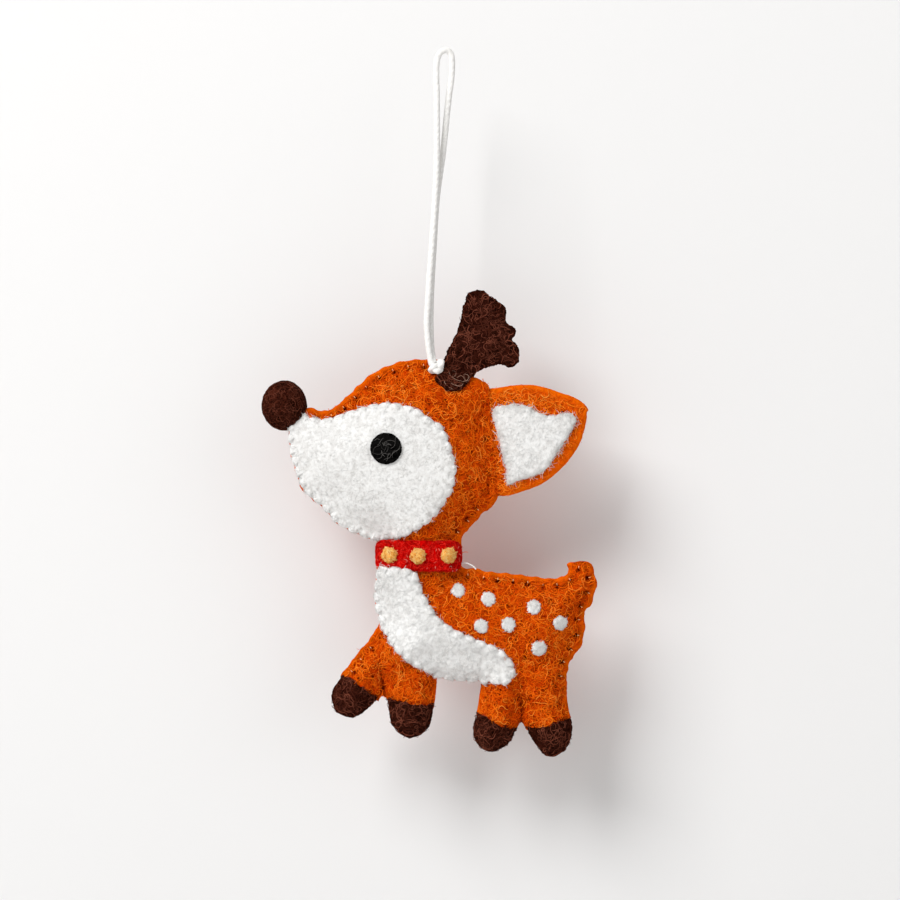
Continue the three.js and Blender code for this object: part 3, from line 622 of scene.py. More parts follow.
def felt_finish(name, pit, wool_colour, glow, nubs=0.5, cut=(0, 0, 0)):
    """Wool felt: curling fibres that catch the light over a deeper mat with dark pits between them. The mat
    is painted darker where the nap's lumps lie low, as shade, and the pit colour is painted shade in needle
    holes, creases and folds. A cut rim, where a piece has one, is smoother, and its colour of its own (cut)
    is a painted rim light, brighter than the felt."""
    finish = bpy.data.materials.new(name)
    finish.use_nodes = True
    nodes, links = finish.node_tree.nodes, finish.node_tree.links
    skin = nodes["Principled BSDF"]
    skin.inputs["Roughness"].default_value = 0.95
    skin.inputs["Specular IOR Level"].default_value = 0
    place = put(nodes, "ShaderNodeTexCoord").outputs["Object"]
    strands = curly_ridges(nodes, links, place, 420, 0.9, (0, 0, 0), 0.05)
    finer = ((560, 1.1, (0.21, 0.4, 0.1)), (760, 0.8, (0.7, 0.1, 0.3)), (1000, 0.7, (0.4, 0.9, 0.6)))
    for scale, bend, shift in finer:
        ridges = curly_ridges(nodes, links, place, scale, bend, shift, 0.05)
        strands = strongest(nodes, links, strands, ridges)
    mat = put(nodes, "ShaderNodeTexNoise")
    mat.inputs["Scale"].default_value = 620
    mat.inputs["Detail"].default_value = 4
    mat.inputs["Roughness"].default_value = 0.6
    links.new(place, mat.inputs["Vector"])
    # Painted shade: the mat is darker where the nap's lumps lie low.
    lumps = put(nodes, "ShaderNodeAttribute", attribute_name="nap")
    raised = put(nodes, "ShaderNodeMath", operation="MULTIPLY_ADD")
    links.new(lumps.outputs["Fac"], raised.inputs[0])
    raised.inputs[1].default_value = 0.17
    links.new(mat.outputs["Fac"], raised.inputs[2])
    depth = put(nodes, "ShaderNodeMapRange", interpolation_type="SMOOTHSTEP")
    depth.inputs["From Min"].default_value = 0.37
    depth.inputs["From Max"].default_value = 0.62
    links.new(raised.outputs[0], depth.inputs["Value"])
    cloud = put(nodes, "ShaderNodeTexNoise")
    cloud.inputs["Scale"].default_value = 130
    cloud.inputs["Detail"].default_value = 2
    links.new(place, cloud.inputs["Vector"])
    patchy = put(nodes, "ShaderNodeMapRange")
    patchy.inputs["From Min"].default_value = 0.3
    patchy.inputs["From Max"].default_value = 0.7
    patchy.inputs["To Min"].default_value = 0.25
    patchy.inputs["To Max"].default_value = 0.75
    links.new(cloud.outputs["Fac"], patchy.inputs["Value"])
    mat_colour = blended(nodes, links, depth.outputs[0], pit, wool_colour)
    lit = put(nodes, "ShaderNodeMath", operation="MULTIPLY")
    links.new(strands, lit.inputs[0])
    links.new(patchy.outputs[0], lit.inputs[1])
    matted = blended(nodes, links, lit.outputs[0], mat_colour, glow)
    # Painted rim light: near a rim the colour turns to cut, lighter and even.
    rim = put(nodes, "ShaderNodeAttribute", attribute_name="painted_rim_light")
    trimmed = blended(nodes, links, rim.outputs["Fac"], matted, cut)
    # Painted shade: needle holes, creases and the ear's fold take the pit colour.
    hole = put(nodes, "ShaderNodeAttribute", attribute_name="painted_hollow_shade")
    links.new(blended(nodes, links, hole.outputs["Fac"], trimmed, pit), skin.inputs["Base Color"])
    height = put(nodes, "ShaderNodeMath", operation="MULTIPLY_ADD")
    links.new(depth.outputs[0], height.inputs[0])
    height.inputs[1].default_value = 1.2
    links.new(strands, height.inputs[2])
    bump = put(nodes, "ShaderNodeBump")
    bump.inputs["Strength"].default_value = nubs
    bump.inputs["Distance"].default_value = 0.0002
    links.new(height.outputs[0], bump.inputs["Height"])
    links.new(bump.outputs[0], skin.inputs["Normal"])
    return finish


def fibre_finish(name, dark, middle, bright, palest=None):
    """Single wool fibres, each with a tone of its own between three colours, and a few paler than that."""
    finish = bpy.data.materials.new(name)
    finish.use_nodes = True
    nodes, links = finish.node_tree.nodes, finish.node_tree.links
    skin = nodes["Principled BSDF"]
    skin.inputs["Roughness"].default_value = 0.8
    skin.inputs["Specular IOR Level"].default_value = 0.02
    tone = put(nodes, "ShaderNodeAttribute", attribute_name="fibre_tone")
    ramp = put(nodes, "ShaderNodeValToRGB")
    ramp.color_ramp.elements[0].color = (*dark, 1)
    ramp.color_ramp.elements[1].color = (*(palest or bright), 1)
    ramp.color_ramp.elements.new(0.45).color = (*middle, 1)
    if palest:
        ramp.color_ramp.elements.new(0.86).color = (*bright, 1)
    links.new(tone.outputs["Fac"], ramp.inputs["Fac"])
    links.new(ramp.outputs["Color"], skin.inputs["Base Color"])
    return finish


def inside_of(edge):
    """A quick test of which flat points lie inside a closed edge, worked out once on a grid."""
    covered = grid_heights(edge, lambda flat: enclosed(flat, edge).astype(float), step=0.25, rounds=0)
    return lambda flat: covered(flat) > 0.4


def tease_fibres(name, skin, dense, length, radius, lift, curl, seed, finish, share=None, loose=0.06,
                 tones=(0, 1), upon=None):
    """Real wool fibres that lie curled on a skin of points and triangles, a few of them standing off it:
    so many to the square millimetre, thinned by share(places). Nearly all stay upon(flat)."""
    points, triangles = skin
    rng = np.random.default_rng(seed)
    a, b, c = (points[triangles[:, i]] for i in range(3))
    weight = np.linalg.norm(np.cross(b - a, c - a), axis=1) / 2
    if share is not None:
        weight = weight * share((a + b + c) / 3)
    count = int(dense * weight.sum())
    steps = int(length * 2.5) + 3
    picked = rng.choice(len(weight), count, p=weight / weight.sum())
    u, v = np.sqrt(rng.random(count))[:, None], rng.random(count)[:, None]
    normals = skin_normals(points, triangles)
    corners = triangles[picked]
    parts = (1 - u, u * (1 - v), u * v)
    root = sum(part * points[corners[:, i]] for i, part in enumerate(parts))
    out = unit(sum(part * normals[corners[:, i]] for i, part in enumerate(parts)))
    first = unit(np.cross(out, rng.normal(size=(count, 3))))
    second = np.cross(out, first)
    s = np.linspace(0, 1, steps)[None, :]
    bend = curl * rng.normal(size=(count, 1))
    wave = 0.7 * np.sin(2 * np.pi * (s * rng.uniform(0.5, 1.2, (count, 1)) + rng.random((count, 1))))
    heading = bend * s + wave
    long = length * rng.uniform(0.55, 1.35, (count, 1))
    along, aside = np.cumsum(np.cos(heading), 1), np.cumsum(np.sin(heading), 1)
    along = (along - along.mean(1, keepdims=True)) * long / (steps - 1)
    aside = (aside - aside.mean(1, keepdims=True)) * long / (steps - 1)
    arch = lift * rng.uniform(0.3, 1.6, (count, 1)) * np.sin(np.pi * s) ** 0.8 - 0.6 * radius
    free = rng.random((count, 1)) < loose
    arch = np.where(free, lift * rng.uniform(2, 5, (count, 1)) * s**1.4 - 0.6 * radius, arch)
    path = root[:, None] + along[..., None] * first[:, None] + aside[..., None] * second[:, None]
    path = path + (arch - (along**2 + aside**2) / 22)[..., None] * out[:, None]
    if upon is not None:
        stays = upon(path[..., [0, 2]].reshape(-1, 2)).reshape(count, steps).mean(1) > 0.9
        stays |= rng.random(count) < 0.03
        path, out, count = path[stays], out[stays], int(stays.sum())
    ahead = unit(np.gradient(path, axis=1))
    across = unit(np.cross(ahead, out[:, None]))
    over = np.cross(across, ahead)
    thick = (radius * rng.uniform(0.7, 1.25, (count, 1)) * (0.5 + 0.5 * np.sin(np.pi * s) ** 0.5))[..., None]
    rings = [path + thick * (math.cos(t) * across + math.sin(t) * over) for t in (0.5, 2.594, 4.689)]
    fibres = np.stack(rings, 2).reshape(-1, 3)
    base = np.arange(count)[:, None, None] * steps * 3
    i, j = np.meshgrid(np.arange(steps - 1) * 3, np.arange(3), indexing="ij")
    here, there = base + i + j, base + i + (j + 1) % 3
    faces = [np.stack([here, here + 3, there + 3], -1), np.stack([here, there + 3, there], -1)]
    ends = np.arange(count)[:, None] * steps * 3
    faces = [part.reshape(-1, 3) for part in faces] + [
        ends + np.array([0, 1, 2]), ends + (steps - 1) * 3 + np.array([2, 1, 0]),
    ]
    piece = make_piece(name, fibres, np.concatenate(faces), finish, "fawn")
    mark(piece, "fibre_tone", np.repeat(rng.uniform(*tones, count), steps * 3))
    return piece


def wool_layers(name, skin, rim, upon, finish, seed, share=None, dense=1.0, curl=3.4, thick=0.085,
                smooth=1.3):
    """The two layers seen on coarse felt: short dull fibres, and long curly bright ones over them. Both
    grow thin towards the rim, over a band that the needle and the scissors have left smooth."""

    def inside(places, clear):
        shown = np.clip((nearest_on(places[:, [0, 2]], rim)[0] - clear) / smooth, 0, 1)
        return shown if share is None else shown * share(places)

    tease_fibres(
        f"{name}_under_wool", skin, 2.4 * dense, 2.2, 0.07, 0.1, 2.8, seed, finish,
        lambda places: inside(places, 0.25), 0.02, (0, 0.5), upon,
    )
    tease_fibres(
        f"{name}_top_wool", skin, 1.4 * dense, 4.0, thick, 0.26, curl, seed + 500, finish,
        lambda places: inside(places, 0.5), 0.03, (0.3, 1), upon,
    )


def thread_bits(name, ends, height, radius, sink, finish):
    """The bits of thread that show beside the holes; their pale colour is a painted glint. height(flat) is
    the felt's depth toward the viewer.
    """
    s = np.linspace(0, 1, 9)
    skins, faces, before = [], [], 0
    for hole, end in ends:
        flat = hole + (end - hole) * (0.55 + 0.65 * s[:, None])
        depth = height(flat) + radius - sink * np.abs(2 * s - 1) ** 2.5
        line = np.stack([flat[:, 0], -depth, flat[:, 1]], 1)
        skin, triangles = spun_tube(
            line, lambda angle, run: radius * (1 + 0.12 * np.cos(3 * angle + 14 * run)), 8,
        )
        skins.append(skin)
        faces.append(triangles + before)
        before += len(skin)
    return make_piece(name, np.concatenate(skins), np.concatenate(faces), finish, "fawn")


# The cut colour here is a painted rim light.
orange = felt_finish(
    "orange_wool_felt", linear(78, 8, 0), linear(182, 48, 0), linear(242, 104, 9), cut=linear(232, 100, 5),
)
orange_fibres = fibre_finish(
    "orange_wool_fibres", linear(176, 44, 0), linear(232, 88, 5), linear(253, 124, 20), linear(255, 150, 52),
)
# The thread is real, but its pale colour is a painted glint beside each needle hole.
painted_glint_thread = fibre_finish("orange_thread_painted_glint", *[linear(255, 196, 140)] * 3)

FELT_GRAIN = 0.36
head_flat, head_triangles = cut_felt(head_edge, FELT_GRAIN, 11)
head_depth = head_half(head_flat) - draw_in(head_flat, head_stitches)
head_inner = np.maximum(head_depth - FELT, SEAM_HALF)


def ply(
    name, flat, triangles, depth, inner, front, finish, slot, node, seed,
    amount=0.17, edge=None, stitches=(), trim=(0.7, 1.2),
):
    """One ply of a sewn form, toward the viewer or behind, with the felt's nap on its outer side."""
    near, far = (depth, inner) if front else (-inner, -depth)
    points, faces = closed_felt(flat, triangles, near, far)
    outer = np.repeat([front, not front], len(flat))
    piece, skin = felt_piece(name, points, faces, amount, seed, finish, node, raised=outer)
    if edge is not None:
        # Painted rim light along the ply's edge.
        inside = nearest_on(flat, edge)[0]
        mark(piece, "painted_rim_light", np.tile(trim[0] * np.exp(-((inside / trim[1]) ** 2)), 2))
    # Painted shade at each needle hole.
    if len(stitches):
        mark(piece, "painted_hollow_shade", np.tile(np.clip(
            1.7 * np.exp(-((nearest_on(flat, stitches[:, 0])[0] / 0.5) ** 2)), 0, 1), 2))
    return piece, skin


def both_plies(form, flat, triangles, depth, inner, finish, slot, seeds, **how):
    """The near and the far ply of a sewn form. Gives each piece with its raised skin."""
    return [
        ply(
            f"{form}_{side}", flat, triangles, depth, inner, side == "front", finish, slot,
            f"{form}_{side}_felt", seed, **how,
        )
        for side, seed in zip(("front", "back"), seeds)
    ]


(_, head_front_skin), (_, head_back_skin) = both_plies(
    "head", head_flat, head_triangles, head_depth, head_inner, orange, "orange_felt", (21, 22),
    edge=head_rim, stitches=head_stitches,
)


# The face. A patch of white felt, 1.1 mm thick, laid over the head and overcast round its edge:
# each stitch draws the edge in, which leaves a row of small puffy lobes.
PATCH_FELT = 1.1
LOBE_PITCH = 3.0
LOBE_BITE = 0.26
LOBE_BULGE = 0.3
FACE_EDGE = [
    (-38.5, -91.95), (-37.25, -91.2), (-35.51, -90.7), (-33.78, -91.08), (-31.79, -91.57),
    (-29.3, -91.45), (-27.07, -90.83), (-25.08, -90.08), (-22.6, -89.34), (-20.11, -88.59),
    (-17.63, -87.97), (-15.15, -87.72), (-12.66, -87.85), (-10.18, -88.34), (-7.69, -88.97),
    (-5.71, -90.21), (-3.72, -91.7), (-1.48, -93.06), (-0.24, -95.18), (0.75, -97.66), (1.5, -100.39),
    (2.37, -103.62), (1.99, -106.11), (1.5, -108.84), (0.01, -111.32), (-1.48, -113.56),
    (-3.22, -115.79), (-5.21, -117.53), (-7.45, -118.77), (-9.68, -120.14), (-11.92, -121.01),
    (-14.4, -121.38), (-16.39, -121.51), (-18.38, -120.89), (-21.36, -119.89), (-24.34, -118.77),
    (-26.57, -117.16), (-28.56, -115.05), (-30.8, -113.06), (-32.41, -111.2), (-34.52, -109.33),
    (-35.76, -107.1), (-36.63, -104.61), (-37.75, -102.38), (-38.5, -99.65), (-38.87, -96.67),
    (-38.99, -94.18),
]


def lobed_edge(edge):
    """A cut edge drawn in at every overcast stitch, and the distance along it to the nearest stitch."""
    run = np.concatenate([[0], np.cumsum(np.linalg.norm(np.diff(edge, axis=0), axis=1))])
    whole = run[-1] + np.linalg.norm(edge[0] - edge[-1])
    count = round(whole / LOBE_PITCH)
    turns = run / whole * count
    beside = np.abs(turns - np.round(turns)) * whole / count
    arc = np.sqrt(1 - (1 - np.clip(beside / LOBE_PITCH * 2, 0, 1)) ** 2)
    drawn = LOBE_BITE - (LOBE_BITE + LOBE_BULGE) * arc
    return edge + inward(edge) * drawn[:, None], beside


def overcast_patch(
    name, points, under, carrier, finish, node, seed, puff=0.2, padding=None,
):
    """A felt patch sewn down all round. under(flat) is the height of what carries it, and where the patch
    comes near the carrier's own edge, it is drawn out to that edge and round it. padding(flat) is how
    far its face stands off for what lies beneath."""
    plain = felt_edge(points, 0.14)
    gap = signed_distance(plain, carrier)
    plain = plain - inward(plain) * (np.clip((1.7 - gap) / 0.9, 0, 1) * np.maximum(gap - 0.28, 0))[:, None]
    edge, beside = lobed_edge(plain)
    flat, triangles = cut_felt(edge, 0.34, seed, (0.12, 0.28, 0.5, 0.78, 1.1))
    inside, which = nearest_on(flat, edge)
    turn = 1 - np.clip(inside / 0.9, 0, 1)
    rise = 0.32 + (PATCH_FELT - 0.32) * np.sqrt(1 - turn**2)
    pull = np.exp(-((beside[which] / 0.42) ** 2)) * (1 - np.clip(inside / 1.7, 0, 1) ** 2)
    lobe = puff * np.exp(-(((inside - 1) / 0.8) ** 2)) * (1 - pull)
    gap = signed_distance(flat, carrier)
    into = inward(carrier)[nearest_on(flat, carrier)[1]]
    height = under(flat + into * np.maximum(0.55 - gap, 0)[:, None])
    wrapped = np.clip((0.9 - gap) / 0.5, 0, 1)
    top = height + rise - 0.28 * pull * np.minimum(rise, 1) + lobe
    if padding is not None:
        top = top + padding(flat)
    points, faces = closed_felt(flat, triangles, top, (height - 0.08) * (1 - wrapped) + 0.2 * wrapped)
    outer = np.arange(len(points)) < len(flat)
    piece, skin = felt_piece(name, points, faces, 0.05, seed, finish, node, 0.9, outer)
    # Painted rim light at the patch's edge, which offsets the shading there.
    mark(piece, "painted_rim_light", np.tile(0.8 * np.exp(-((inside / 0.6) ** 2)), 2))
    return piece, skin, edge


# The white's cut colour is a painted rim light that offsets the shading at the patches' edges.
white = felt_finish(
    "white_wool_felt", linear(211, 209, 206), linear(228, 227, 225), linear(236, 236, 234), 0.2,
    cut=linear(244, 244, 243),
)
white_fibres = fibre_finish(
    "white_wool_fibres", linear(214, 212, 208), linear(230, 229, 227), linear(240, 240, 239),
)
white_thread = cotton_finish("white_sewing_thread", linear(250, 249, 247), linear(214, 211, 206))
face, face_skin, face_edge = overcast_patch(
    "face", FACE_EDGE, head_half, head_edge, white, "face_patch", 31,
)


KNOT_CLEAR = 2.6


def off_face(places):
    """Where the head's felt shows: outside the face patch and off the knot, and less at the holes."""
    flat = places[:, [0, 2]]
    off_knot = np.linalg.norm(flat - KNOT_CENTRE[[0, 2]], axis=1) > KNOT_CLEAR
    holes = np.exp(-((nearest_on(flat, head_stitches[:, 0])[0] / 0.8) ** 2))
    return (signed_distance(flat, face_edge) < 0.4) * off_knot * (1 - 0.9 * holes)


def crossing(edge, reach):
    """Where fibres lie across an edge."""
    return lambda places: (np.abs(signed_distance(places[:, [0, 2]], edge)) < reach).astype(float)


thread_bits(
    "head_stitches", head_stitches[signed_distance(head_stitches[:, 0], face_edge) < 0], head_half,
    0.085, 0.35, painted_glint_thread,
)
inside_head = inside_of(head_edge)


NECK_MIDDLE = -7.2
NECK_REACH = 9.7


def within_neck(flat):
    """Between the two sides of the neck."""
    return np.abs(flat[:, 0] - NECK_MIDDLE) < NECK_REACH


def upon_head(flat):
    """On the head, or over its joins with the ear and the neck."""
    by_ear = (flat[:, 0] > 8.5) & (flat[:, 1] > -111.5)
    return inside_head(flat) | by_ear | (within_neck(flat) & (flat[:, 1] < NECK_LEVEL))


wool_layers("head_front", head_front_skin, head_rim, upon_head, orange_fibres, 41, off_face)
wool_layers("head_back", head_back_skin, head_rim, upon_head, orange_fibres, 42, dense=0.8)
tease_fibres("face_wool", face_skin, 2.2, 1.5, 0.04, 0.08, 1.8, 43, white_fibres)
tease_fibres(
    "face_stray_wool", face_skin, 2.2, 2.2, 0.045, 0.2, 1.6, 45, white_fibres,
    crossing(face_edge, 0.5), 0.5,
)


# The eye. A round of black felt, needled on to the face patch and slightly domed.
EYE_CENTRE = np.array([-14.78, -98.78])
EYE_RADIUS = 3.88
EYE_WOOL_RADIUS = 3.4


def ragged_round(centre, radius, rag, seed, count=150):
    """The edge of a felted dot: nearly round, with short tufts that stand out of it."""
    angle = np.linspace(0, 2 * np.pi, count, endpoint=False)
    ring = np.stack([np.cos(angle), np.zeros(count), np.sin(angle)], 1) * radius
    tufts = wool(ring, 0.24, seed) + 0.2 * wool(ring, 0.6, seed + 1)
    return centre + ring[:, [0, 2]] * (1 + rag * tufts / radius)[:, None]


def felted_dot(name, centre, radius, carrier, thickness, dome, rag, finish, node, seed):
    """A dot of felt with a rounded edge on the pieces that carry it."""
    edge = ragged_round(centre, radius, rag, seed)
    flat, triangles = cut_felt(edge, 0.24, seed, (0.12, 0.28, 0.5))
    inside = nearest_on(flat, edge)[0]
    turn = 1 - np.clip(inside / 0.55, 0, 1)
    middle = 1 - ((flat - centre) ** 2).sum(1) / radius**2
    under = carrier(flat)
    top = under + 0.1 + (thickness - 0.1) * np.sqrt(1 - turn**2) + dome * middle
    points, faces = closed_felt(flat, triangles, top, under - 0.1)
    outer = np.arange(len(points)) < len(flat)
    return felt_piece(name, points, faces, 0.1, seed, finish, node, 0.8, outer)


def on_face(flat):
    """How far the face patch stands toward the viewer."""
    return head_half(flat) + PATCH_FELT


def within_eye(places):
    """Where the eye's fibres may start, short of its rim."""
    return (np.linalg.norm(places[:, [0, 2]] - EYE_CENTRE, axis=1) < EYE_WOOL_RADIUS).astype(float)


black = felt_finish("black_wool_felt", linear(2, 2, 2), linear(9, 8, 8), linear(26, 25, 24), 0.5)
black_fibres = fibre_finish("black_wool_fibres", linear(6, 6, 6), linear(18, 17, 17), linear(112, 109, 106))
_, eye_skin = felted_dot(
    "eye", EYE_CENTRE, EYE_RADIUS, on_face, 0.75, 0.6, 0.06, black, "eye_disc", 51,
)
tease_fibres(
    "eye_wool", eye_skin, 0.75, 3.2, 0.05, 0.14, 1.3, 52, black_fibres, within_eye, 0, (0.4, 1),
    inside_of(felt_edge(EYE_CENTRE + (EYE_RADIUS - 0.1) * np.array([
        (math.cos(t), math.sin(t)) for t in np.linspace(0, 2 * math.pi, 40, endpoint=False)
    ]))),
)


# The nose. A firm ball of dark brown wool, felted round and sewn to the tip of the muzzle.
NOSE_CENTRE = np.array([-40.42, 0, -88.06])
NOSE_REACH = np.array([5.6, 5.5, 6.2])


def felted_ball(centre, reach, rows=90, sides=150):
    """Points and faces of a felted ball, without a seam at its poles."""
    up = np.linspace(0, np.pi, rows + 1)[1:-1, None]
    round_it = np.linspace(0, 2 * np.pi, sides, endpoint=False)[None]
    ball = np.stack([
        np.sin(up) * np.cos(round_it), np.sin(up) * np.sin(round_it), np.cos(up) + 0 * round_it,
    ], -1)
    points = np.concatenate([ball.reshape(-1, 3), [[0, 0, 1], [0, 0, -1]]])
    i, j = np.meshgrid(np.arange(rows - 2), np.arange(sides), indexing="ij")
    here, there = i * sides + j, i * sides + (j + 1) % sides
    faces = [np.stack([here, here + sides, there + sides], -1), np.stack([here, there + sides, there], -1)]
    ring = np.arange(sides)
    last, top, bottom = (rows - 2) * sides, len(points) - 2, len(points) - 1
    caps = [
        np.stack([np.full(sides, top), ring, (ring + 1) % sides], 1),
        np.stack([np.full(sides, bottom), last + (ring + 1) % sides, last + ring], 1),
    ]
    return centre + points * reach, np.concatenate([part.reshape(-1, 3) for part in faces] + caps)


brown = felt_finish("brown_wool_felt", linear(12, 2, 0), linear(42, 12, 6), linear(92, 44, 30), 0.8)
brown_fibres = fibre_finish("brown_wool_fibres", linear(24, 6, 3), linear(64, 25, 15), linear(126, 69, 52))
nose_points, nose_faces = felted_ball(NOSE_CENTRE, NOSE_REACH)
_, nose_skin = felt_piece("nose", nose_points, nose_faces, 0.1, 61, brown, "nose_ball", 2)
tease_fibres("nose_wool", nose_skin, 2.6, 2.6, 0.05, 0.06, 1.4, 62, brown_fibres, loose=0.03)


# The ear. Two plies of the orange felt, barely stuffed, whose straight side is caught in the seam of
# the head. Its hollow is lined with a soft piece of white felt, needled on so that its edge frays.
EAR_EDGE = [
    (9.24, -83.67), (10.96, -83.77), (13.48, -83.55), (16.48, -83.05), (19.22, -82.85),
    (22.37, -83.03), (25.66, -83.77), (28.61, -84.87), (31.55, -85.8), (33.45, -86.79),
    (34.77, -88.04), (35.59, -89.09), (35.2, -89.91), (35.05, -92.04), (34.32, -94.91),
    (33.02, -98.28), (31, -101.25), (29.15, -103.39), (26.46, -105.89), (23.64, -107.76),
    (20.52, -109.01), (17.47, -110.01), (15.38, -110.51), (12.98, -110.63), (11.48, -110.13),
    (10.98, -104.14), (10.24, -96.65), (9.49, -89.17),
]
LINING_EDGE = [
    (11.45, -90.32), (11.95, -88.7), (13.44, -87.95), (16.43, -87.8), (18.42, -87.83), (20.16, -88.08),
    (22.3, -89.12), (24.49, -90.19), (27.05, -90.42), (29.61, -89.87), (31.1, -89.94), (32.72, -91.69),
    (31.45, -94.17), (29.99, -96.91), (28.37, -99.03), (26.63, -101.89), (24.88, -104.13),
    (22.65, -105.37), (20.16, -106.37), (17.92, -107.11), (15.68, -107.86), (14.93, -107.11),
    (14.93, -104.13), (14.19, -101.64), (13.32, -97.91), (12.44, -94.17), (11.7, -91.69),
]


def frayed(edge, amount, size, seed):
    """A cut edge whose wool stands out in tufts."""
    return edge + inward(edge) * (amount * wool(np.insert(edge, 1, 0, 1), size, seed))[:, None]


ear_edge = felt_edge(EAR_EDGE)
ear_lift = grid_heights(ear_edge, lambda flat: rounded_rise(signed_distance(flat, ear_edge), 1.4, 7, 0.8))


def ear_half(flat):
    """Half the ear's thickness: pinched where the head's seam holds it."""
    held = np.clip((signed_distance(flat, head_edge) + 3.2) / 3.6, 0, 1)
    return (hem(nearest_on(flat, ear_edge)[0]) + ear_lift(flat)) * (1 - 0.35 * held**2)


ear_flat, ear_triangles = cut_felt(ear_edge, FELT_GRAIN, 71)
clear_of_head = signed_distance(ear_flat[ear_triangles].mean(1), head_edge) < 1.2
ear_triangles = ear_triangles[clear_of_head]
ear_depth = ear_half(ear_flat)
ear_inner = np.full(len(ear_flat), SEAM_HALF)
# The ear's rim takes a strong and wide painted rim light.
(ear_front, ear_front_skin), (ear_back, ear_back_skin) = both_plies(
    "ear", ear_flat, ear_triangles, ear_depth, ear_inner, orange, "orange_felt", (72, 73),
    edge=ear_edge, trim=(1, 2.2),
)
# Painted shade along the fold where the head's seam pinches the ear.
painted_fold_shade = 0.6 * np.exp(-(((signed_distance(ear_flat, head_edge) + 0.2) / 0.7) ** 2))
mark(ear_front, "painted_hollow_shade", np.tile(painted_fold_shade, 2))
mark(ear_back, "painted_hollow_shade", np.tile(painted_fold_shade, 2))
lining_edge = felt_edge(LINING_EDGE, 0.2)
lining_edge = frayed(lining_edge + inward(lining_edge) * 0.15, 0.18, 0.7, 74)
lining_edge = frayed(lining_edge, 0.1, 0.35, 75)
lining_flat, lining_triangles = cut_felt(lining_edge, 0.34, 76)
lining_inside = nearest_on(lining_flat, lining_edge)[0]
lining_under = np.maximum(ear_half(lining_flat), np.where(
    signed_distance(lining_flat, head_edge) > 0, head_half(lining_flat), 0,
))
lining_top = lining_under + 0.1 + 0.75 * np.sqrt(1 - (1 - np.clip(lining_inside / 1.1, 0, 1)) ** 2)
lining_points, lining_faces = closed_felt(lining_flat, lining_triangles, lining_top, lining_under - 0.08)
lining, lining_skin = felt_piece(
    "ear_lining", lining_points, lining_faces, 0.07, 77, white, "inner_ear_felt",
    raised=np.arange(len(lining_points)) < len(lining_flat),
)


def off_lining(places):
    """Where the ear's felt shows: outside the lining."""
    return (signed_distance(places[:, [0, 2]], lining_edge) < 0.5).astype(float)


inside_ear = inside_of(ear_edge)


def upon_ear(flat):
    """On the ear, or over its join with the head."""
    return inside_ear(flat) | inside_head(flat)


ear_fibres = fibre_finish(
    "ear_wool_fibres", linear(198, 58, 0), linear(243, 103, 9), linear(255, 140, 34), linear(255, 160, 64),
)
wool_layers("ear_front", ear_front_skin, ear_edge, upon_ear, ear_fibres, 78, off_lining, 1.1)
wool_layers("ear_back", ear_back_skin, ear_edge, upon_ear, ear_fibres, 79, dense=0.8)
tease_fibres(
    "lining_stray_wool", lining_skin, 3, 3.4, 0.045, 0.3, 2.6, 86, white_fibres,
    crossing(lining_edge, 0.7), 0.4,
)
tease_fibres(
    "lining_wool", lining_skin, 3, 1.5, 0.045, 0.1, 1.8, 80, white_fibres, tones=(0.45, 1),
)


# The antler. Two plies of dark brown felt, coarser and curlier than the rest, which stand on the crown
# and straddle its rim, the near one sewn down over the front of the head.
ANTLER_EDGE = [
    (5.49, -60.21), (7.24, -59.29), (8.99, -59.21), (10.36, -60.09), (11.31, -61.06), (12.98, -61.96),
    (14.48, -63.21), (14.98, -64.46), (14.73, -66.2), (15.35, -67.4), (16.65, -68.45), (17.22, -69.82),
    (16.48, -71.79), (17.72, -72.94), (18.32, -74.44), (18.12, -76.94), (16.72, -78.43),
    (14.73, -77.88), (13.11, -77.68), (10.98, -78.43), (8.74, -79.18), (6.92, -80.28), (5.62, -82.1),
    (4, -83.77), (2.25, -84.52), (-0.1, -84.05), (-1.75, -82.85), (-2.49, -81.68), (-2.12, -80.28),
    (-0.65, -77.68), (0.1, -75.11), (0.83, -73.27), (2.12, -71.07), (3.25, -68.12), (4, -65.2),
    (4.69, -62.21),
]
antler_edge = frayed(frayed(felt_edge(ANTLER_EDGE, 0.2), 0.2, 1.2, 87), 0.1, 0.5, 88)
antler_lift = grid_heights(
    antler_edge, lambda flat: rounded_rise(signed_distance(flat, antler_edge), 0.9, 4, 0.9),
)
ANTLER_STEP = 2.2


def antler_rise(flat):
    """How thick the antler's felt is, with its rounded cut edge."""
    turn = 1 - np.clip(nearest_on(flat, antler_edge)[0] / 1.2, 0, 1)
    return CUT_EDGE + (FELT - CUT_EDGE) * np.sqrt(1 - turn**2) + antler_lift(flat)


antler_flat, antler_triangles = cut_felt(antler_edge, 0.34, 81)
over_head = signed_distance(antler_flat, head_edge)
carried = np.where(over_head > 0, head_half(antler_flat), SEAM_HALF)
climb = np.clip((over_head + ANTLER_STEP) / ANTLER_STEP, 0, 1)
step_up = climb**2 * (3 - 2 * climb)
antler_under = np.maximum(carried, SEAM_HALF + 1.2 * step_up)
antler_depth = antler_under + antler_rise(antler_flat)
antler_inner = np.maximum(carried - 0.06, SEAM_HALF)
(_, antler_front_skin), (_, antler_back_skin) = both_plies(
    "antler", antler_flat, antler_triangles, antler_depth, antler_inner, brown, "brown_felt", (82, 83),
    amount=0.48,
)
inside_antler = inside_of(antler_edge)
antler_skins = {"antler_front": antler_front_skin, "antler_back": antler_back_skin}
for seed, (ply_name, skin) in enumerate(antler_skins.items(), 84):
    wool_layers(
        ply_name, skin, antler_edge, inside_antler, brown_fibres, seed,
        dense=1.15, curl=4.6, thick=0.1, smooth=0.4,
    )
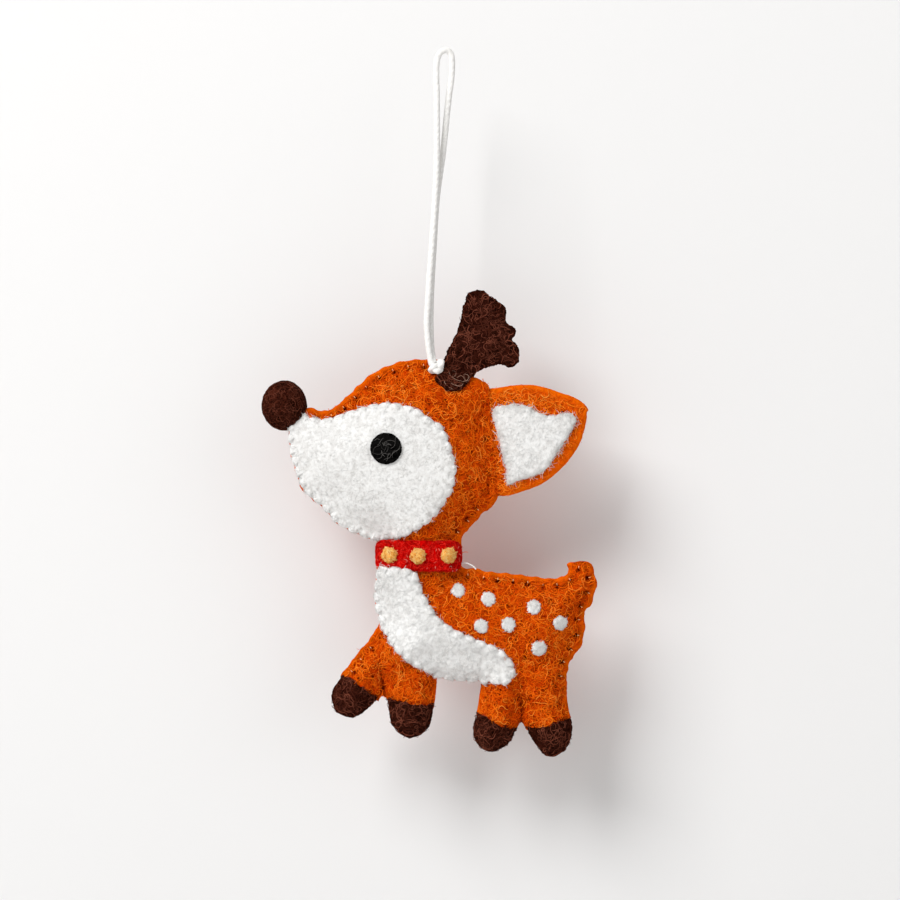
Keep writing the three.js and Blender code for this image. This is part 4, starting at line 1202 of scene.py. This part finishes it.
pale_wool = fibre_finish("pale_stray_wool", linear(120, 80, 64), linear(152, 110, 92), linear(190, 152, 132))
tease_fibres(
    "antler_stray_wool", antler_front_skin, 0.34, 4.4, 0.06, 0.3, 2.6, 89, pale_wool,
    lambda places: ((places[:, 2] < -80) & (places[:, 0] > 0)).astype(float), 0.1,
)


# The body. Two plies of the orange felt again, cut in one with the four stubby legs and the tail, and
# stuffed. The legs of a pair part at a crease that runs up from the notch between them.
BODY_EDGE = [
    (-17, -125.65), (-17.25, -129.4), (-17.5, -131.65), (-17.62, -134.15), (-17.75, -136.65),
    (-17.38, -138.78), (-16.75, -141.15), (-16.75, -142.65), (-18.83, -145.9), (-21.58, -149.08),
    (-23.85, -152.03), (-25.67, -154.33), (-27.5, -157.15), (-28.5, -159.4), (-28.67, -161.53),
    (-27.75, -164.15), (-25.75, -165.53), (-23.62, -166.1), (-21.5, -165.5), (-19.62, -164.03),
    (-17.92, -162.3), (-16.75, -161.15), (-15.75, -160.65), (-14.88, -161.4), (-14.42, -164.15),
    (-14, -167.15), (-12.38, -169.4), (-10.5, -170.78), (-8.5, -171.15), (-6, -170.28),
    (-4.12, -168.4), (-3.25, -165.28), (-2.75, -161.65), (-2.38, -157.9), (-2, -155.9), (0.5, -156.53),
    (3.5, -156.85), (6.5, -157.1), (8.62, -157.4), (8.25, -161.15), (7.67, -164.78), (6.75, -168.03),
    (6.75, -170.9), (8.25, -173.4), (10.5, -174.5), (12.88, -174.28), (15.25, -172.9),
    (16.75, -171.15), (17.75, -168.72), (18.75, -167.15), (19.75, -168.28), (20.75, -170.4),
    (22.25, -172.65), (24, -174.9), (26.38, -175.9), (29.12, -174.65), (31, -172.28), (31.75, -168.28),
    (31.38, -166.4), (30.75, -164.4), (30.25, -161.65), (30.25, -159.15), (30.38, -155.65),
    (31, -152.53), (31.88, -151.03), (33.75, -148.4), (34.57, -145.65), (34.88, -142.9),
    (34.88, -139.65), (36.25, -137.9), (37.12, -135.65), (37.75, -132.4), (37.32, -130.15),
    (36.62, -128.03), (35.5, -127.15), (33.75, -126.78), (31.75, -127), (30.25, -127.65),
    (30.5, -129.15), (29.5, -130.4), (26.62, -131.15), (23.5, -130.9), (20, -130.4), (16, -129.9),
    (10.5, -129.4), (7.25, -128.65), (4, -128.28), (3.5, -125.65), (-1.5, -125.53), (-7, -125.53),
    (-12.5, -125.53),
]
CREASES = [
    [(-15.75, -160.65), (-15.62, -158.65), (-16, -156.15), (-16.75, -153.65)],
    [(18.75, -167.15), (18.88, -164.65), (18.75, -161.9), (18.5, -159.15)],
]
body_edge = felt_edge(BODY_EDGE)
body_stitches = sewn_stitches(
    body_edge, lambda at: (at[:, 1] < -128.5) & (
        ((at[:, 0] > 3) & (at[:, 1] > -156))
        | ((at[:, 0] < -16.5) & (at[:, 1] > -158) & (at[:, 1] < -143.5))
    ),
)
body_edge = drawn_edge(body_edge, body_stitches)
body_seam = body_edge[body_edge[:, 1] < NECK_LEVEL - 1.8]
crease_lines = [smooth_line(points, 0.3, False) for points in CREASES]


def crease_distance(flat):
    """As far as the nearest crease, which grows shallow towards its top."""
    least = np.full(len(flat), 99.0)
    for line in crease_lines:
        far, which = nearest_on(flat, line)
        least = np.minimum(least, far + 4 * np.clip(which / (len(line) - 1) - 0.5, 0, 1) ** 1.5)
    return least


def body_swell(flat):
    """How far the filling lifts the felt: less in the legs, which are narrower than the trunk."""
    seam = np.minimum(nearest_on(flat, body_seam)[0], crease_distance(flat))
    leg = np.clip((-147 - flat[:, 1]) / 9, 0, 1)
    leg = leg * leg * (3 - 2 * leg)
    trunk_rise = rounded_rise(seam, 1.6, 10.5, 5.6)
    leg_rise = rounded_rise(seam, 0.6, 4.8, 3.5)
    inside = signed_distance(flat, body_edge) > 0
    return np.where(inside, (1 - leg) * trunk_rise + leg * leg_rise, 0)


body_lift = grid_heights(body_edge, body_swell, rounds=5)


def body_half(flat):
    """Half the body's thickness at each place, legs and tail included, drawn in towards the neck."""
    folded = np.minimum(nearest_on(flat, body_seam)[0], crease_distance(flat) + 0.25)
    full = hem(folded) + body_lift(flat)
    return drawn_to_neck(full, NECK_LEVEL - flat[:, 1])


def stretch(start, end):
    """The part of the body's edge from near one place to near another, anticlockwise."""
    first, last = nearest_on(np.array([start, end], float), body_edge)[1]
    return np.roll(body_edge, -first, 0)[:(last - first) % len(body_edge) + 1]


def felt_region(*lines):
    """A closed edge made of lines laid end to end."""
    whole = np.concatenate([np.array(line, float) for line in lines])
    whole = whole[np.linalg.norm(whole - np.roll(whole, 1, 0), axis=1) > 0.12]
    x, z = whole.T
    return whole if (x * np.roll(z, -1) - z * np.roll(x, -1)).sum() > 0 else whole[::-1]


def straight(start, end):
    """Evenly spaced points between two places, without its ends."""
    start, end = np.array(start), np.array(end)
    count = max(int(np.linalg.norm(end - start) / 0.3), 1)
    return start + (end - start) * (np.arange(1, count) / count)[:, None]


SHOULDER = (-16.75, -142.65)
FRONT_FORK = tuple(crease_lines[0][-1])
GIRTH = (-2.2, -156.6)
FLANK = (8.5, -157.4)
REAR_FORK = tuple(crease_lines[1][-1])
RUMP = (30.4, -155.6)
FRONT_NOTCH = tuple(crease_lines[0][0])
REAR_NOTCH = tuple(crease_lines[1][0])
HOOF_LINES = {
    "front_hoof_1": [
        (-25.99, -155.38), (-23.88, -156.13), (-22.14, -157.24), (-20.4, -158.61), (-18.16, -160.35),
        (-16.79, -160.98),
    ],
    "front_hoof_2": [(-14.18, -161.23), (-11.44, -161.6), (-8.7, -162.22), (-5.1, -162.72), (-3.11, -162.72)],
    "rear_hoof_1": [(7.72, -164.58), (10.21, -165.95), (13.44, -167.82), (15.93, -168.57), (17.67, -168.39)],
    "rear_hoof_2": [
        (20.03, -167.94), (20.9, -168.32), (24.64, -168.19), (27.12, -167.2), (29.61, -166.45),
        (30.98, -165.95),
    ],
}
# The trunk and the legs share this nap, so that it runs on from one to the next.
BODY_NAP = 92
trunk_edge = felt_region(
    stretch((-17, -125.65), SHOULDER), straight(SHOULDER, FRONT_FORK), straight(FRONT_FORK, GIRTH),
    stretch(GIRTH, FLANK), straight(FLANK, REAR_FORK), straight(REAR_FORK, RUMP),
    stretch(RUMP, (-12.5, -125.5)),
)
trunk_flat, trunk_triangles = cut_felt(trunk_edge, FELT_GRAIN, 91)
trunk_depth = body_half(trunk_flat) - draw_in(trunk_flat, body_stitches)
trunk_inner = np.maximum(trunk_depth - FELT, SEAM_HALF)
(_, body_front_skin), (_, body_back_skin) = both_plies(
    "body", trunk_flat, trunk_triangles, trunk_depth, trunk_inner, orange, "orange_felt",
    (BODY_NAP, BODY_NAP), edge=body_seam, stitches=body_stitches,
)


# The legs and hooves. Each leg is a stuffed stub of the same felt as the body, and each ends in a cap
# of dark brown felt, needled on, that stands a little proud of the leg.
LEGS = {
    "front_leg_1": ("front_hoof_1", SHOULDER, FRONT_NOTCH, [FRONT_FORK]),
    "front_leg_2": ("front_hoof_2", FRONT_NOTCH, GIRTH, [FRONT_FORK]),
    "rear_leg_1": ("rear_hoof_1", FLANK, REAR_NOTCH, [REAR_FORK]),
    "rear_leg_2": ("rear_hoof_2", REAR_NOTCH, RUMP, [REAR_FORK]),
}
HOOF_PROUD = 0.4


def both_sides(name, edge, height, grain, finish, node, seed, amount):
    """A closed form, alike toward the viewer and behind, with nap all over."""
    flat, triangles = cut_felt(edge, grain, seed)
    depth = height(flat)
    if finish is orange:
        depth = depth - draw_in(flat, body_stitches)
    points, faces = closed_felt(flat, triangles, depth, -depth)
    piece, skin = felt_piece(name, points, faces, amount, BODY_NAP, finish, node)
    if finish is orange:
        # Painted rim light along the sewn rim of the legs.
        mark(piece, "painted_rim_light", np.tile(0.45 * np.exp(-((nearest_on(flat, body_seam)[0] / 0.9) ** 2)), 2))
        # Painted shade at the needle holes and along the creases between the legs.
        holes = 1.7 * np.exp(-((nearest_on(flat, body_stitches[:, 0])[0] / 0.5) ** 2))
        painted_crease_shade = 0.9 * np.exp(-((crease_distance(flat) / 0.7) ** 2))
        mark(piece, "painted_hollow_shade", np.tile(np.clip(np.maximum(holes, painted_crease_shade), 0, 1), 2))
    return skin


leg_skins, hoof_skins, hoof_edges = [], [], []
for number, (leg, (hoof, start, end, fork)) in enumerate(LEGS.items()):
    top_line = smooth_line(HOOF_LINES[hoof], 0.3, False)
    outer = stretch(start, end)
    left_end, right_end = nearest_on(top_line[[0, -1]], outer)[1]
    lower = outer[left_end:right_end + 1]
    leg_edge = felt_region(
        outer[:left_end + 1], top_line + (0, -0.9), outer[right_end:], straight(end, fork[0]), [fork[0]],
        straight(fork[0], start),
    )
    leg_skins.append(both_sides(
        f"stuffed_{leg}", leg_edge, body_half, FELT_GRAIN, orange, leg, 93 + number, 0.17,
    ))
    hoof_edge = felt_region(lower + inward(lower) * 0.25, top_line[::-1])
    hoof_edge = frayed(hoof_edge, 0.12, 0.9, 120 + number)
    hoof_edges.append(hoof_edge)

    def hoof_half(flat, line=top_line):
        cap = np.clip(nearest_on(flat, line)[0] / 0.6, 0, 1)
        return body_half(flat) + 0.05 + HOOF_PROUD * np.sqrt(1 - (1 - cap) ** 2)

    hoof_skins.append(both_sides(
        f"capping_{hoof}", hoof_edge, hoof_half, 0.34, brown, hoof, 97 + number, 0.24,
    ))


# The collar. A band of red felt, 7.5 mm wide, sewn into a ring round the neck, where it covers the
# join of head and body, with three dots of yellow wool needled on its near side.
COLLAR_MIDDLE = (-6.85, -125.35)
COLLAR_HALF = (10.2, 6.3)
COLLAR_CORNER = 1.8
COLLAR_SQUARE = 3.0
COLLAR_FELT = 1.3
COLLAR_WIDTH = 7.5
BAND_SQUARE = 0.55
BAND_TILT = 0.018


def collar_ring(turns):
    """The middle line of the band, seen from above: a rounded oblong round the neck."""
    c, s = np.cos(turns), np.sin(turns)
    reach = (np.abs(c / COLLAR_HALF[0]) ** COLLAR_SQUARE + np.abs(s / COLLAR_HALF[1]) ** COLLAR_SQUARE)
    reach = reach ** (-1 / COLLAR_SQUARE)
    return np.stack([COLLAR_MIDDLE[0] + reach * c, reach * s], 1)


collar_turns = np.linspace(0, 2 * np.pi, 1200, endpoint=False)
collar_fine = collar_ring(collar_turns)
collar_path = smooth_line(collar_fine[::12], 0.26, True)
collar_out = -inward(collar_path)
section_turns = np.linspace(0, 2 * np.pi, 56, endpoint=False)
to_end = np.clip(COLLAR_HALF[0] - np.abs(collar_path[:, 0] - COLLAR_MIDDLE[0]), 0, COLLAR_CORNER)
band_half = COLLAR_WIDTH / 2 - COLLAR_CORNER + np.sqrt(COLLAR_CORNER**2 - (COLLAR_CORNER - to_end) ** 2)
band_round = np.sign(np.cos(section_turns)) * np.abs(np.cos(section_turns)) ** BAND_SQUARE
band_thick = np.sign(np.sin(section_turns)) * np.abs(np.sin(section_turns)) ** BAND_SQUARE
band_thick = band_thick * COLLAR_FELT / 2
band_tilt = BAND_TILT * (collar_path[:, 0] - COLLAR_MIDDLE[0])
collar_points = np.zeros((len(collar_path), len(section_turns), 3))
collar_points[..., :2] = collar_path[:, None] + collar_out[:, None] * band_thick[None, :, None]
collar_points[..., 2] = COLLAR_MIDDLE[1] - band_tilt[:, None] + band_half[:, None] * band_round[None, :]
collar_points = collar_points.reshape(-1, 3)
i, j = np.meshgrid(np.arange(len(collar_path)), np.arange(len(section_turns)), indexing="ij")
wide = len(section_turns)
here, there = i * wide + j, i * wide + (j + 1) % wide
next_row = (i + 1) % len(collar_path) * wide
on, on_there = next_row + j, next_row + (j + 1) % wide
collar_faces = np.concatenate([
    np.stack([on_there, on, here], -1).reshape(-1, 3), np.stack([there, on_there, here], -1).reshape(-1, 3),
])
red = felt_finish("red_wool_felt", linear(132, 0, 0), linear(202, 3, 2), linear(228, 22, 16), 0.6)
red_fibres = fibre_finish("red_wool_fibres", linear(160, 0, 0), linear(212, 7, 6), linear(242, 56, 44))
_, collar_skin = felt_piece(
    "collar", collar_points, collar_faces, 0.18, 141, red, "collar_band", 1.8,
)


def outside_band(places):
    """The outer face of the band."""
    way = np.abs((places[:, :2] - (COLLAR_MIDDLE[0], 0)) / COLLAR_HALF) ** COLLAR_SQUARE
    return ((way[:, 0] + way[:, 1]) ** (1 / COLLAR_SQUARE) > 0.99).astype(float)


def upon_band(flat):
    """Between the two ends of the band."""
    return np.abs(flat[:, 0] - COLLAR_MIDDLE[0]) < COLLAR_HALF[0] + COLLAR_FELT / 2


tease_fibres(
    "collar_wool", collar_skin, 4, 1.8, 0.06, 0.12, 2.4, 142, red_fibres, outside_band, 0,
    upon=upon_band,
)
lint = fibre_finish("pale_pink_lint", linear(226, 120, 104), linear(238, 158, 142), linear(246, 190, 176))
tease_fibres("collar_lint", collar_skin, 0.08, 1.3, 0.05, 0.12, 1.5, 143, lint, outside_band, 0)


def on_collar(flat):
    """How far the band's face stands toward the viewer."""
    share = np.clip(np.abs((flat[:, 0] - COLLAR_MIDDLE[0]) / COLLAR_HALF[0]), 0, 0.98)
    return COLLAR_HALF[1] * (1 - share**COLLAR_SQUARE) ** (1 / COLLAR_SQUARE) + COLLAR_FELT / 2


BEAD_RADIUS = 1.85
BEADS = [(-14.08, -125.11), (-6.91, -125.35), (0.63, -125.23)]
yellow = felt_finish(
    "yellow_wool_felt", linear(206, 116, 34), linear(252, 172, 74), linear(255, 212, 124), 0.6,
)
yellow_fibres = fibre_finish(
    "yellow_wool_fibres", linear(226, 140, 52), linear(255, 196, 100), linear(255, 232, 160),
)
for number, place in enumerate(BEADS, 1):
    _, skin = felted_dot(
        f"collar_dot_{number}", np.array(place), BEAD_RADIUS, on_collar, 0.7, 0.7, 0.26, yellow,
        f"collar_bead_{number}", 150 + number,
    )
    tease_fibres(
        f"collar_dot_{number}_wool", skin, 12, 1.2, 0.07, 0.12, 1.2, 160 + number, yellow_fibres,
        loose=0.15,
    )


# The chest. A curved bib of white felt from the collar to the flank, overcast like the face patch
# but puffier, because the body swells beneath it. Its top edge laps over the collar.
CHEST_EDGE = [
    (-16.39, -128.71), (-14.15, -128.34), (-11.42, -128.59), (-9.68, -128.78), (-7.82, -129.45),
    (-7.1, -130.7), (-6.45, -132.63), (-5.76, -134.67), (-4.22, -137.4), (-2.85, -139.64),
    (-0.99, -141.7), (1.75, -143.49), (4.85, -144.98), (8.05, -146.35), (10.81, -147.46),
    (13.52, -148.76), (15.33, -150.57), (16.65, -152.68), (16.8, -154.64), (15.78, -156.46),
    (14.04, -157.15), (10.94, -156.78), (7.21, -156.6), (3.48, -156.41), (-0.49, -156.01),
    (-3.47, -154.67), (-5.96, -153.48), (-8.69, -152.06), (-10.92, -150.07), (-12.98, -148.08),
    (-14.57, -145.6), (-15.64, -143.49), (-16.71, -140.63), (-17.38, -138.15), (-17.63, -135.66),
    (-17.38, -132.68), (-17.13, -130.2),
]


LAP_LEVEL = -129.2


def over_breast(flat, run=1.6):
    """The swell of the body and, at the top, the face of the collar, reached over a certain run."""
    lap = np.clip((flat[:, 1] - LAP_LEVEL + run) / run, 0, 1)
    body = body_half(flat)
    return body + lap * lap * (3 - 2 * lap) * np.maximum(on_collar(flat) + 0.05 - body, 0)


_, chest_skin, chest_edge = overcast_patch(
    "chest", CHEST_EDGE, over_breast, body_edge, white, "chest_patch", 101, 0.3,
    lambda flat: over_breast(flat, 9) - over_breast(flat),
)


def bare_orange(places):
    """Where the body's felt shows: off the chest and the hooves, and less at the stitches' holes."""
    flat = places[:, [0, 2]]
    holes = np.exp(-((nearest_on(flat, body_stitches[:, 0])[0] / 0.8) ** 2))
    holes = np.maximum(holes, np.exp(-((crease_distance(flat) / 0.8) ** 2)))
    under_hoof = np.any([
        enclosed(flat, edge) | (nearest_on(flat, edge)[0] < 0.7) for edge in hoof_edges
    ], axis=0)
    under_chest = (signed_distance(flat, chest_edge) > 0.4) & (places[:, 1] < 0)
    return (1 - 0.9 * holes) * ~under_hoof * ~under_chest


thread_bits("body_stitches", body_stitches, body_half, 0.085, 0.35, painted_glint_thread)
inside_body = inside_of(body_edge)


def upon_body(flat):
    """On the body, or over its join with the neck."""
    return inside_body(flat) | (within_neck(flat) & (flat[:, 1] > NECK_LEVEL))


for form, skin, seed in (("body_front", body_front_skin, 102), ("body_back", body_back_skin, 113)):
    wool_layers(form, skin, body_seam, upon_body, orange_fibres, seed, bare_orange)
tease_fibres(
    "chest_stray_wool", chest_skin, 2.2, 2.2, 0.045, 0.2, 1.6, 114, white_fibres,
    crossing(chest_edge, 0.5), 0.5,
)
for number, (leg, skin) in enumerate(zip(LEGS, leg_skins)):
    wool_layers(
        leg, skin, body_seam, upon_body, orange_fibres, 104 + number, bare_orange,
        curl=3.8, smooth=0.6,
    )
for number, (hoof, skin) in enumerate(zip(HOOF_LINES, hoof_skins)):
    wool_layers(
        hoof, skin, body_seam, upon_body, brown_fibres, 108 + number,
        dense=1.15, curl=4.4, thick=0.1, smooth=0.4,
    )
tease_fibres(
    "chest_wool", chest_skin, 3, 1.6, 0.045, 0.12, 2, 112, white_fibres, tones=(0.45, 1),
)


# The spots. Seven small dots of white wool needled into the near side of the back.
SPOTS = [
    (3.0, -134.0, 1.7), (10.51, -136.05, 1.75), (21.75, -138.1, 1.75), (8.7, -142.68, 1.7),
    (15.43, -142.35, 1.75), (28.35, -142.05, 1.75), (23.1, -148.18, 1.9),
]
for number, (x, z, radius) in enumerate(SPOTS, 1):
    _, skin = felted_dot(
        f"white_spot_{number}", np.array((x, z)), radius, body_half, 0.65, 0.25, 0.24, white,
        f"spot_{number}", 120 + number,
    )
    tease_fibres(
        f"spot_{number}_wool", skin, 9, 1.3, 0.045, 0.07, 1.6, 130 + number, white_fibres,
    )


# The thread's tail. The end of the white sewing thread that fastens the collar sticks out behind it.
TAIL_LINE = [(3.7, -127.4), (4.98, -127.35), (6.1, -127.75), (6.97, -128.3), (7.5, -128.85)]
tail_flat = smooth_line(TAIL_LINE, 0.15, False)
tail_line = np.stack([tail_flat[:, 0], np.linspace(-1.6, -2.6, len(tail_flat)), tail_flat[:, 1]], 1)
TAIL_RADIUS = 0.2
tail_skin, tail_faces = spun_tube(
    tail_line, lambda angle, run: TAIL_RADIUS * (1 + 0.15 * np.cos(2 * angle + 9 * run)), 8,
)
make_piece("collar_thread_end", tail_skin, tail_faces, white_thread, "fawn")


# The filling. A loose handful of white wadding in the head and in the body, which only shows where a
# seam opens. It follows the inside of the plies.
FILLING_CLEAR = 0.35
FILLING_INSET = 3.4
wadding = felt_finish(
    "white_wadding", linear(214, 212, 208), linear(238, 237, 234), linear(252, 252, 250), 0.6,
)


def stuff(name, edge, height, node, seed):
    """Wadding that fills a form to just short of its plies."""
    inset = edge + inward(edge) * FILLING_INSET
    inset = inset[nearest_on(inset, edge)[0] > 3.3]
    inner_edge = felt_edge(inset[::4], 0.8)
    flat, triangles = cut_felt(inner_edge, 1.0, seed, (0.6,))
    room_for = height(flat) - FELT - FILLING_CLEAR
    depth = np.maximum(room_for, 0.3)
    points, faces = closed_felt(flat, triangles, depth, -depth)
    piece, _ = felt_piece(name, points, faces, 0.12, seed, wadding, node, 3)


stuff("head_filling", head_edge, head_half, "head_stuffing", 171)
stuff("body_filling", trunk_edge, body_half, "body_stuffing", 172)
